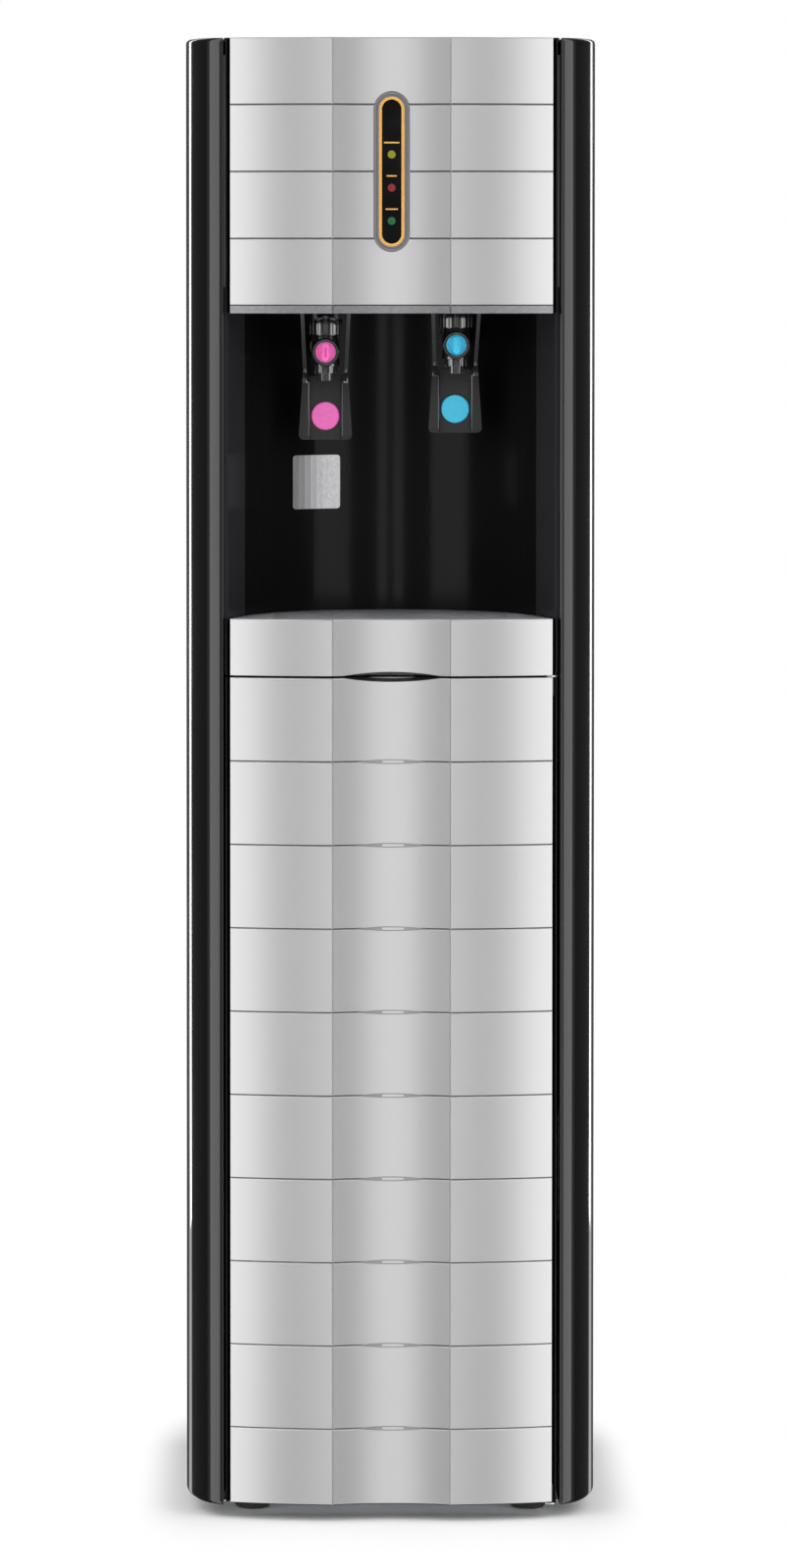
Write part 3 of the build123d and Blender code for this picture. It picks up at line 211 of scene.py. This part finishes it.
def dress(material, *nodes, crease=28.0, edge=0.0, rounds=2):
    """Replaces each CAD node by a welded copy with smooth curves and softened edges.

    The crease is in degrees, and the edge is the softening in millimetres.
    """
    same_point, flat, sharp = 2e-6, radians(0.4), radians(50)
    made = []
    for name in nodes:
        source = frame["nodes"][name]
        shape = bmesh.new()
        shape.from_mesh(source.data)
        bmesh.ops.remove_doubles(shape, verts=shape.verts, dist=same_point)
        bmesh.ops.dissolve_limit(shape, angle_limit=flat, verts=shape.verts, edges=shape.edges)
        if edge:
            hard = [
                line for line in shape.edges
                if len(line.link_faces) == 2 and line.calc_face_angle() > sharp
            ]
            bmesh.ops.bevel(shape, geom=hard, offset=edge / 1000.0, offset_type="OFFSET",
                            segments=rounds, profile=0.5, affect="EDGES", clamp_overlap=True,
                            material=-1)
        shade_smooth(shape, crease)
        finished = name + "_finished"
        made.append(place_piece(shape, finished, material, source["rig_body"]))
        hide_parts(name)
    return made


rubber = plain("moulded_rubber", "1A1A1B", 0.85)
vary(rubber, mottle(rubber, (2, 2, 2)), roughness=(0.72, 0.92))
vary(rubber, mottle(rubber, (0.8, 0.8, 0.8)), height=0.05)
dress(rubber, "feet", "compressor_grommets")

# Compressor: a deep-drawn steel pot and lid welded at a flange. It is dipped in
# black enamel, which dries with a slight orange-peel skin about 2 mm across.
enamel = plain("black_stove_enamel", "151617", 0.32, Coat_Weight=0.4, Coat_Roughness=0.2)
vary(enamel, mottle(enamel, (2, 2, 2)), height=0.06)
vary(enamel, mottle(enamel, (30, 30, 30)), roughness=(0.28, 0.42))
dress(enamel, "compressor")

# Inlet valve and control box on the pan, and the cord's gland in the rear panel.
# The valve is white nylon, the other two black ABS with a spark-eroded grain.
nylon = plain("white_nylon", "D9D8D2", 0.38)
vary(nylon, mottle(nylon, (6, 6, 6)), roughness=(0.32, 0.46))
vary(nylon, mottle(nylon, (0.8, 0.8, 0.8)), height=0.02)
grained_black = plain("grained_black_abs", "161617", 0.48)
vary(grained_black, mottle(grained_black, (0.9, 0.9, 0.9), 4.0), height=0.05)
vary(grained_black, mottle(grained_black, (14, 14, 14)), roughness=(0.42, 0.56))
dress(nylon, "solenoid_valve")
dress(grained_black, "control_box", "cord_gland", edge=0.4)

# Side panels: each is one long moulding in gloss black ABS, a hollow column in
# front with an elliptic nose, and a flat wall behind. A polished mould leaves a
# mirror skin that waves by a few hundredths over tens of millimetres.
gloss_black = plain("gloss_black_abs", "0B0B0C", 0.08, IOR=1.6)
vary(gloss_black, mottle(gloss_black, (60, 60, 90)), roughness=(0.06, 0.11))
vary(gloss_black, mottle(gloss_black, (38, 38, 70), 1.0), height=0.02)
# The round between a column's front and its inner wall is drawn in toward its
# corner, so that the edge catches a thin line of light. The right one keeps more
# of its round, because the open door swings past it.
column_corner = Vector((0.1288, -0.1542))
corner_reach = 0.0041
for node_name, round_kept in (("left_side_panel", 0.25), ("right_side_panel", 0.7)):
    for panel in dress(gloss_black, node_name, crease=35.0):
        for point in panel.data.vertices:
            off = Vector((abs(point.co.x), point.co.y)) - column_corner
            if abs(off.x) < corner_reach and abs(off.y) < corner_reach:
                point.co.x = copysign(column_corner.x + round_kept * off.x, point.co.x)
                point.co.y = column_corner.y + round_kept * off.y

# Rear panel: steel sheet with black powder coat, whose cured skin is pebbled at
# about 1 mm. Zinc-plated screws with pan heads hold it to the side panels.
powder_coat = plain("black_powder_coat", "1B1C1D", 0.55)
vary(powder_coat, mottle(powder_coat, (1.3, 1.3, 1.3), 3.0), height=0.09)
vary(powder_coat, mottle(powder_coat, (20, 20, 20)), roughness=(0.48, 0.62))
paint(powder_coat, "rear_panel")
bright_steel = plain("bright_plated_steel", "B9BABC", 0.24, Metallic=1.0)
vary(bright_steel, mottle(bright_steel, (4, 4, 4)), roughness=(0.18, 0.34))
dress(bright_steel, "panel_screws", edge=0.3)

# Condenser on the back: a tube bent to and fro with wires welded across both of
# its sides, all lacquered black, which pools a little thicker at each weld.
lacquer = plain("black_lacquered_wire", "111112", 0.36)
vary(lacquer, mottle(lacquer, (8, 8, 8)), roughness=(0.28, 0.46))
vary(lacquer, mottle(lacquer, (3, 3, 3)), height=0.05)
dress(lacquer, "condenser", crease=50.0)

# Water fittings, drain cap and switches at the back: white nylon fittings, a
# ribbed black cap, and two coloured rockers in one clipped-in frame.
dress(nylon, "rear_fittings", edge=0.3)
dress(grained_black, "drain_cap", "switch_frame", edge=0.3)
for name, code, node_name in (
    ("red_polycarbonate", "A01A1E", "hot_switch"),
    ("green_polycarbonate", "137A38", "cold_switch"),
):
    rocker_plastic = plain(name, code, 0.22, Coat_Weight=0.3)
    vary(rocker_plastic, mottle(rocker_plastic, (5, 5, 5)), roughness=(0.18, 0.28))
    dress(rocker_plastic, node_name, edge=0.5)

# Tanks over and behind the niche: both are drawn and welded stainless steel, with
# fine polishing lines round them. The cold one sits in a jacket of moulded foam
# whose swollen beads, 4 mm across, show as shallow cells.
bead_size = 4
stainless = plain("polished_stainless_tank", "B4B5B6", 0.25, Metallic=1.0)
vary(stainless, mottle(stainless, (60, 60, 0.8)), roughness=(0.18, 0.36))
dress(stainless, "cold_tank", "hot_tank")
bead_foam = plain("bead_foam", "E3DCC6", 0.9)
beads = add_node(bead_foam, "ShaderNodeTexVoronoi", {
    "Vector": in_millimetres(bead_foam, [bead_size] * 3), "Scale": 1.0,
}).outputs["Distance"]
vary(bead_foam, beads, colours=("E9E3D0", "CFC7AE"), height=0.5)
dress(bead_foam, "cold_tank_jacket")

# Filters behind the door: white polypropylene cartridges that twist into nylon
# heads on the rail, and short polyethylene tubes from head to head.
polypropylene = plain("white_polypropylene", "DEDEDA", 0.42)
vary(polypropylene, mottle(polypropylene, (12, 12, 40)), roughness=(0.36, 0.5))
vary(polypropylene, mottle(polypropylene, (1.2, 1.2, 1.2)), height=0.02)
dress(polypropylene, "filter_cartridge_1", "filter_cartridge_2", "filter_cartridge_3")
dress(nylon, "filter_heads", edge=0.4)
tube_plastic = plain("white_polyethylene_tube", "D5DADC", 0.3)
vary(tube_plastic, mottle(tube_plastic, (3, 3, 3)), roughness=(0.26, 0.38))
dress(tube_plastic, "filter_tubing", crease=50.0)

# Tray shelf between the niche and the filter room, and the top cover: both are
# moulded in black ABS with a fine grain.
dress(grained_black, "tray_shelf", "top_cover", edge=0.4)

# Niche liner: one moulding in black ABS, with splayed sides and a round back. Its
# skin is a little softer than the columns', so reflections spread. The splayed sides
# are painted a lighter grey, as painted sheen for the light that they catch.
liner_black = plain("niche_black_abs", "111112", 0.16, Specular_IOR_Level=0.09)
vary(liner_black, mottle(liner_black, (50, 50, 80)), roughness=(0.13, 0.19))
vary(liner_black, mottle(liner_black, (45, 45, 60), 1.0), height=0.03)
# Past these distances from the middle the colour is painted lighter: painted sheen on the splayed
# sides.
unpainted_up_to, painted_sheen_from = 0.1128, 0.1132
across = add_node(liner_black, "ShaderNodeSeparateXYZ", {
    "Vector": add_node(liner_black, "ShaderNodeTexCoord").outputs["Object"],
})
from_centre = add_node(liner_black, "ShaderNodeMath", {
    0: across.outputs["X"],
}, operation="ABSOLUTE")
painted_sheen = add_node(liner_black, "ShaderNodeMapRange", {
    "Value": from_centre.outputs["Value"], "From Min": unpainted_up_to, "From Max": painted_sheen_from,
})
vary(liner_black, painted_sheen.outputs["Result"], colours=("121213", "29292B"))
dress(liner_black, "niche_liner", crease=20.0)

# Plate on the back of the niche: blank satin foil with round corners, stuck on so
# that it follows the curve of the wall.
foil = plain("satin_silver_foil", "A9A9AB", 0.35, Metallic=0.8)
vary(foil, mottle(foil, (2, 2, 2)), roughness=(0.28, 0.42))
plate_x, plate_z = -0.0574, 0.7953
plate_wide, plate_high, plate_corner, plate_thick = 0.037, 0.0422, 0.0025, 0.0003
wall_radius, wall_middle, off_wall = 0.11997, -0.14617, 0.0004
strips = 8
plate = bmesh.new()
bmesh.ops.create_grid(plate, x_segments=1, y_segments=1, size=0.5)
bmesh.ops.scale(plate, verts=plate.verts, vec=(plate_wide, plate_high, 1.0))
bmesh.ops.bevel(plate, geom=plate.verts[:], offset=plate_corner, offset_type="OFFSET",
                segments=5, profile=0.5, affect="VERTICES", clamp_overlap=True, material=-1)
for step in range(1, strips):
    cut_x = plate_wide * (step / strips - 0.5)
    bmesh.ops.bisect_plane(plate, geom=plate.verts[:] + plate.edges[:] + plate.faces[:],
                           plane_co=(cut_x, 0, 0), plane_no=(1, 0, 0))
bmesh.ops.rotate(plate, verts=plate.verts, matrix=Matrix.Rotation(radians(90), 3, "X"))
for point in plate.verts:
    x = plate_x + point.co.x
    wall_y = wall_middle + sqrt(wall_radius ** 2 - x ** 2)
    point.co = (x, wall_y - off_wall, plate_z + point.co.z)
bmesh.ops.solidify(plate, geom=plate.faces[:], thickness=plate_thick)
bmesh.ops.recalc_face_normals(plate, faces=plate.faces)
place_piece(plate, "niche_plate", foil,
            frame["nodes"]["niche_liner"]["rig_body"])

# Taps: barrels, nuts and spouts moulded in black acetal. The mould is polished but
# where it shapes what looks forward, which comes out soft. The stems and the lever
# pins are ground steel.
acetal = plain("black_acetal", "0B0B0C", 0.22, IOR=1.48, Coat_IOR=2.1, Coat_Roughness=0.04)
vary(acetal, mottle(acetal, (4, 4, 4)), roughness=(0.18, 0.28))
vary(acetal, mottle(acetal, (1, 1, 1)), height=0.01)
looks_forward = -0.93


def coat_where_polished(material):
    """Gives a material a gloss coat on the faces that polish marks."""
    polished = add_node(material, "ShaderNodeAttribute", attribute_name="polished")
    coat = shader_of(material).inputs["Coat Weight"]
    material.node_tree.links.new(polished.outputs["Fac"], coat)


def polish(pieces):
    """Marks all faces of the pieces but those that look forward."""
    for piece in pieces:
        polished = piece.data.attributes.new("polished", "FLOAT", "FACE")
        for face in piece.data.polygons:
            polished.data[face.index].value = 0.0 if face.normal.y < looks_forward else 1.0


coat_where_polished(acetal)
polish(dress(acetal, "hot_tap_body", "cold_tap_body", edge=0.3))
polish(dress(acetal, "tap_nuts", "tap_nozzles", edge=0.2))
dress(bright_steel, "hot_tap_stem", "cold_tap_stem", "lever_pins", edge=0.2)

# Levers: black ABS, polished like the taps and duller in front. Each has a coloured
# disc set on its paddle, and over it the barrel has a knob of the same colour: pink
# for hot and blue for cold.
lever_black = plain("lever_black_abs", "0D0D0E", 0.5, IOR=1.45, Coat_IOR=2.0, Coat_Roughness=0.05)
vary(lever_black, mottle(lever_black, (1.5, 1.5, 1.5)), roughness=(0.45, 0.6))
coat_where_polished(lever_black)
polish(dress(lever_black, "hot_lever", "cold_lever", edge=0.8, rounds=3))
for name, code, nodes in (
    ("pink_abs", "EE66BC", ("hot_lever_disc", "hot_tap_knob")),
    ("blue_abs", "30BEE2", ("cold_lever_disc", "cold_tap_knob")),
):
    coloured = plain(name, code, 0.28)
    vary(coloured, mottle(coloured, (3, 3, 3)), roughness=(0.22, 0.34))
    vary(coloured, mottle(coloured, (0.9, 0.9, 0.9)), height=0.01)
    dress(coloured, *nodes, edge=0.4)

# Black moulding behind the upper silver panel, and the drip tray and the door's
# frame, which have the same slanting lips. All are semi-gloss black ABS.
semi_gloss = plain("semi_gloss_black_abs", "101011", 0.3)
vary(semi_gloss, mottle(semi_gloss, (25, 25, 40)), roughness=(0.24, 0.36))
vary(semi_gloss, mottle(semi_gloss, (1, 1, 1)), height=0.01)
dress(semi_gloss, "upper_front_base", "drip_tray", "door_frame")

# Silver skins of the upper front, the tray and the door: ABS sprayed with silver
# metallic lacquer. Its aluminium flakes are far under a millimetre, so the grain
# is drawn at 1 mm, and they spread the light along broad soft bands.
silver_code = "B7B7B8"
silver = plain("silver_metallic_lacquer", silver_code, 0.38, Metallic=1.0)
vary(silver, mottle(silver, (1, 1, 1), 3.0), roughness=(0.35, 0.41))
vary(silver, mottle(silver, (0.9, 0.9, 0.9)), height=0.004)
# In a groove, the wall that faces down is painted dark, as painted shade, and the
# one that faces up is painted bright, as a painted highlight. The fine lines round
# the lenses in the door's grooves are painted half dark, as painted shade.
groove_width = 0.0014
wall_slope = 0.3
lens_reach = 0.03
painted_shade_wall, painted_lens_shade, no_painted_light, painted_highlight_wall = 0.0, 0.25, 0.5, 1.0
# This ramp paints the groove walls: 505052 is painted shade, E6E6E7 a painted highlight.
painted_groove_light = add_node(silver, "ShaderNodeValToRGB", {
    "Fac": add_node(silver, "ShaderNodeAttribute", attribute_name="groove_painted_light").outputs["Fac"],
})
painted_groove_light.color_ramp.elements[0].color = linear("505052")
painted_groove_light.color_ramp.elements[1].color = linear("E6E6E7")
painted_groove_light.color_ramp.elements.new(no_painted_light).color = linear(silver_code)
silver.node_tree.links.new(painted_groove_light.outputs["Color"], shader_of(silver).inputs["Base Color"])
# Each narrow groove face gets painted shade or a painted highlight by which way it faces.
for piece in dress(silver, "upper_front_panel", "tray_front", "door_skin", crease=14.0):
    mesh = piece.data
    wall = mesh.attributes.new("groove_painted_light", "FLOAT", "FACE")
    for face in mesh.polygons:
        shade = no_painted_light
        around = sum((mesh.vertices[a].co - mesh.vertices[b].co).length for a, b in face.edge_keys)
        if 2 * face.area / around < groove_width:
            if abs(face.normal.z) > wall_slope:
                shade = painted_shade_wall if face.normal.z < 0 else painted_highlight_wall
            elif piece.name.startswith("door_skin") and abs(face.center.x) < lens_reach:
                shade = painted_lens_shade
        wall.data[face.index].value = shade

# Trim under the upper panel: a strip of brushed aluminium. Its scratches are far
# finer than a render shows, so they are drawn as flecks 3.5 mm long and 1.2 mm
# high, lighter and darker in turn.
brushed = plain("brushed_aluminium", "868688", 0.42, Metallic=1.0)
flecks = mottle(brushed, (3.5, 1.2, 1.2), 4.0)
vary(brushed, flecks, roughness=(0.36, 0.5), colours=("666668", "9A9A9C"))
dress(brushed, "chin_trim")

# Indicator: a grey sprayed bezel that steps down to a foil-gold line, and a black
# acrylic window with three flat lamps.
bezel_grey = plain("grey_metallic_lacquer", "737376", 0.34, Metallic=0.9)
vary(bezel_grey, mottle(bezel_grey, (1, 1, 1)), roughness=(0.28, 0.38))
bezel_low, bezel_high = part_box("indicator_bezel")
bezel_front, bezel_back = bezel_low[1], bezel_high[1]
bezel_radius = (bezel_high[0] - bezel_low[0]) / 2
bezel_rise = (bezel_high[2] - bezel_low[2]) / 2 - bezel_radius
bezel_middle = (bezel_high[2] + bezel_low[2]) / 2
# The bezel's section, in millimetres in from its outline and down from its front,
# with None for its back. It is spun to a ring, whose halves then move apart.
bezel_steps = (
    (0.0, None), (0.0, 0.9), (0.5, 0.3), (1.2, 0.0), (2.2, 0.0), (2.5, 0.4),
    (2.8, 0.4), (3.0, 0.05), (3.4, 0.05), (3.6, 0.5), (4.2, 0.5), (4.2, None),
)
ring_steps = 64
bezel = bmesh.new()
section = []
for inset, sink in bezel_steps:
    depth = bezel_back if sink is None else bezel_front + sink / 1000
    section.append(bezel.verts.new((bezel_radius - inset / 1000, depth, 0.0)))
for corner, after in zip(section, section[1:] + section[:1]):
    bezel.edges.new((corner, after))
half_step = Matrix.Rotation(radians(180 / ring_steps), 3, "Y")
bmesh.ops.rotate(bezel, verts=section, matrix=half_step)
bmesh.ops.spin(bezel, geom=bezel.verts[:] + bezel.edges[:], cent=(0, 0, 0), axis=(0, 1, 0),
               angle=radians(360), steps=ring_steps, use_merge=True)
bmesh.ops.remove_doubles(bezel, verts=bezel.verts, dist=1e-6)
for point in bezel.verts:
    point.co.z += bezel_middle + copysign(bezel_rise, point.co.z)
bmesh.ops.recalc_face_normals(bezel, faces=bezel.faces)
shade_smooth(bezel, 35.0)
stepped = place_piece(bezel, "indicator_bezel_stepped", bezel_grey,
                      frame["nodes"]["indicator_bezel"]["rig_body"])
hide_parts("indicator_bezel")
gold = plain("hot_foil_gold", "C89A52", 0.3, Metallic=1.0)
vary(gold, mottle(gold, (2, 2, 2)), roughness=(0.24, 0.38))
dress(gold, "indicator_ring")
acrylic = plain("black_acrylic", "060607", 0.07, Specular_IOR_Level=0.2)
vary(acrylic, mottle(acrylic, (20, 20, 20)), roughness=(0.05, 0.1))
dress(acrylic, "indicator_window")
for node_name, code in (("power_lamp", "7E7A06"), ("hot_lamp", "781018"), ("cold_lamp", "06552D")):
    lens_plastic = plain(node_name + "_acrylic", code, 0.25, Specular_IOR_Level=0.3)
    vary(lens_plastic, mottle(lens_plastic, (1.5, 1.5, 1.5)), roughness=(0.2, 0.34))
    dress(lens_plastic, node_name)

# Marks on the window: a plain gold bar over each lamp. They are stamped on the
# acrylic in the same foil as the line round it.
bar_high, bar_corner, over_lamp = 0.0011, 0.0005, 0.009
foil_thick = 0.00005
window_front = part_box("indicator_window")[0][1]
marks = bmesh.new()
for node_name, wide in (("power_lamp", 0.012), ("hot_lamp", 0.008), ("cold_lamp", 0.0095)):
    lamp_low, lamp_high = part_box(node_name)
    bar_x = (lamp_low[0] + lamp_high[0]) / 2
    bar_z = (lamp_low[2] + lamp_high[2]) / 2 + over_lamp
    bar = bmesh.ops.create_grid(marks, x_segments=1, y_segments=1, size=0.5)["verts"]
    bmesh.ops.scale(marks, verts=bar, vec=(wide, bar_high, 1.0))
    bmesh.ops.rotate(marks, verts=bar, matrix=Matrix.Rotation(radians(90), 3, "X"))
    bmesh.ops.translate(marks, verts=bar, vec=(bar_x, window_front - foil_thick, bar_z))
bmesh.ops.bevel(marks, geom=marks.verts[:], offset=bar_corner, offset_type="OFFSET", segments=4,
                profile=0.5, affect="VERTICES", clamp_overlap=True, material=-1)
bmesh.ops.solidify(marks, geom=marks.faces[:], thickness=foil_thick)
bmesh.ops.recalc_face_normals(marks, faces=marks.faces)
place_piece(marks, "indicator_marks", gold,
            frame["nodes"]["indicator_window"]["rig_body"])

# Grille over the tray: a slotted plate moulded in grey ABS with a satin skin. It
# lies loose in the tray and lifts out.
grille_grey = plain("grey_satin_abs", "96979B", 0.42)
vary(grille_grey, mottle(grille_grey, (10, 10, 10)), roughness=(0.36, 0.48))
vary(grille_grey, mottle(grille_grey, (0.9, 0.9, 0.9)), height=0.02)
dress(grille_grey, "drip_grille", edge=0.3)

# Door hardware: two steel hinge leaves with pins, a magnet on the tray shelf and
# a steel plate for it in the door's back.
ferrite = plain("cast_ferrite", "3A3A3B", 0.6)
vary(ferrite, mottle(ferrite, (2, 2, 2)), roughness=(0.5, 0.7))
paint(ferrite, "door_magnet")
dress(bright_steel, "door_hinges", "door_strike", edge=0.15)

# Floor: matt white paper round the cooler, where it takes the shadow. Farther from
# the foot it fades to plain white for the camera. Gloss looks through it to the
# lamps that go on under it.
half_foot = (0.14, 0.12, 0.0)
shadow_shape = (3.0, 1.0, 1.0)
fade_starts, fade_ends = 0.05, 0.18
paper_radius = 0.4
paper = plain("white_paper_floor", "F4F4F4", 1.0, Specular_IOR_Level=0.0)
beside = add_node(paper, "ShaderNodeVectorMath", {
    0: add_node(paper, "ShaderNodeTexCoord").outputs["Object"],
}, operation="ABSOLUTE")
outside = add_node(paper, "ShaderNodeVectorMath", {
    0: beside.outputs["Vector"], 1: half_foot,
}, operation="SUBTRACT")
clear = add_node(paper, "ShaderNodeVectorMath", {
    0: outside.outputs["Vector"], 1: (0.0, 0.0, 0.0),
}, operation="MAXIMUM")
shaped = add_node(paper, "ShaderNodeVectorMath", {
    0: clear.outputs["Vector"], 1: shadow_shape,
}, operation="MULTIPLY")
from_foot = add_node(paper, "ShaderNodeVectorMath", {
    0: shaped.outputs["Vector"],
}, operation="LENGTH")
far_off = add_node(paper, "ShaderNodeMapRange", {
    "Value": from_foot.outputs["Value"], "From Min": fade_starts, "From Max": fade_ends,
}, interpolation_type="SMOOTHSTEP")
ray = add_node(paper, "ShaderNodeLightPath")
faded = add_node(paper, "ShaderNodeMath", {
    0: ray.outputs["Is Camera Ray"], 1: far_off.outputs["Result"],
}, operation="MULTIPLY")
white = add_node(paper, "ShaderNodeEmission", {"Color": (1.0, 1.0, 1.0, 1.0), "Strength": 1.0})
matt_or_white = add_node(paper, "ShaderNodeMixShader", {
    0: faded.outputs["Value"], 1: shader_of(paper).outputs["BSDF"], 2: white.outputs["Emission"],
})
let_gloss_by = add_node(paper, "ShaderNodeMixShader", {
    0: ray.outputs["Is Glossy Ray"], 1: matt_or_white.outputs["Shader"],
    2: add_node(paper, "ShaderNodeBsdfTransparent").outputs["BSDF"],
})
paper_surface = paper.node_tree.nodes["Material Output"].inputs["Surface"]
paper.node_tree.links.new(let_gloss_by.outputs["Shader"], paper_surface)
sheet = bmesh.new()
bmesh.ops.create_circle(sheet, cap_ends=True, segments=96, radius=paper_radius)
floor = add_object(sheet, "floor", paper)

# Background: white for the camera, and an even light for what is matt. Gloss sees a
# grey room in front, and behind it dark cards with a narrow white gap between them,
# which draws the cooler's edges.
even_light = 0.6
# How bright gloss sees the room, from straight in front of the cooler, which is 0,
# to straight behind it, which is 1.
room = (
    (0.0, 0.31), (0.52, 0.31), (0.58, 0.07), (0.93, 0.07),
    (0.9415, 1.0), (0.96, 1.0), (0.968, 0.1), (1.0, 0.1),
)
world = bpy.data.worlds.new("studio")
bpy.context.scene.world = world
world.use_nodes = True
background = world.node_tree.nodes["Background"]
background.inputs["Color"].default_value = (1.0, 1.0, 1.0, 1.0)
ray = add_node(world, "ShaderNodeLightPath")
seen_white = add_node(world, "ShaderNodeMath", {
    0: ray.outputs["Is Camera Ray"], 1: ray.outputs["Is Transmission Ray"],
}, operation="MAXIMUM")
toward = add_node(world, "ShaderNodeSeparateXYZ", {
    "Vector": add_node(world, "ShaderNodeTexCoord").outputs["Generated"],
})
how_far_back = add_node(world, "ShaderNodeMapRange", {
    "Value": toward.outputs["Y"], "From Min": -1.0, "From Max": 1.0,
})
walls = add_node(world, "ShaderNodeFloatCurve", {"Value": how_far_back.outputs["Result"]})
curve = walls.mapping.curves[0]
curve.points[0].location = room[0]
curve.points[1].location = room[-1]
for place, level in room[1:-1]:
    curve.points.new(place, level)
for point in curve.points:
    point.handle_type = "VECTOR"
walls.mapping.update()
gloss_sees = add_node(world, "ShaderNodeMath", {
    0: ray.outputs["Is Glossy Ray"], 1: walls.outputs["Value"],
}, operation="MULTIPLY")
matt_sees = add_node(world, "ShaderNodeMapRange", {
    "Value": ray.outputs["Is Glossy Ray"], "To Min": even_light, "To Max": 0.0,
})
studio = add_node(world, "ShaderNodeMath", {
    0: gloss_sees.outputs["Value"], 1: matt_sees.outputs["Result"],
})
strength = add_node(world, "ShaderNodeMath", {
    0: studio.outputs["Value"], 1: seen_white.outputs["Value"],
}, operation="MAXIMUM")
world.node_tree.links.new(strength.outputs["Value"], background.inputs["Strength"])

# Lamps, the same on either side: two for the gloss in front, which reach on under
# the floor's edge so that their lines are even down to the foot, one for the gloss
# behind, and one for what is matt.
lamps = (
    # Name, ends of its line on the floor plan, lowest and highest point, radiance,
    # and whether it is for gloss.
    ("side_lamp", (0.213, -0.446), (0.676, -0.207), -1.0, 2.4, 1.77, True),
    ("front_lamp", (0.027, -0.782), (0.115, -0.782), -1.0, 2.4, 2.3, True),
    ("rim_lamp", (0.721, 0.96), (0.627, 1.005), 0.0, 2.4, 3.5, True),
    ("fill_lamp", (0.609, -1.17), (1.3, 0.0), 0.03, 2.13, 1.7, False),
)


def softbox(name, near, far, low, high, radiance, for_gloss):
    """A rectangular lamp that stands over a line on the floor plan and shines to its left."""
    start, end = Vector((*near, low)), Vector((*far, high))
    along = (end - start).xy
    data = bpy.data.lights.new(name, "AREA")
    data.shape = "RECTANGLE"
    data.size = along.length
    data.size_y = high - low
    data.energy = radiance * pi * data.size * data.size_y
    lamp = bpy.data.objects.new(name, data)
    bpy.context.scene.collection.objects.link(lamp)
    lamp.location = (start + end) / 2
    lamp.rotation_euler = (radians(90), 0.0, atan2(along.y, along.x))
    lamp.visible_camera = False
    lamp.visible_glossy = for_gloss
    lamp.visible_diffuse = not for_gloss


for side in (-1, 1):
    for name, near, far, *light in lamps:
        ends = [(side * x, y) for x, y in (near, far)]
        softbox(name, *ends[::side], *light)

bpy.context.scene.view_settings.view_transform = "Standard"
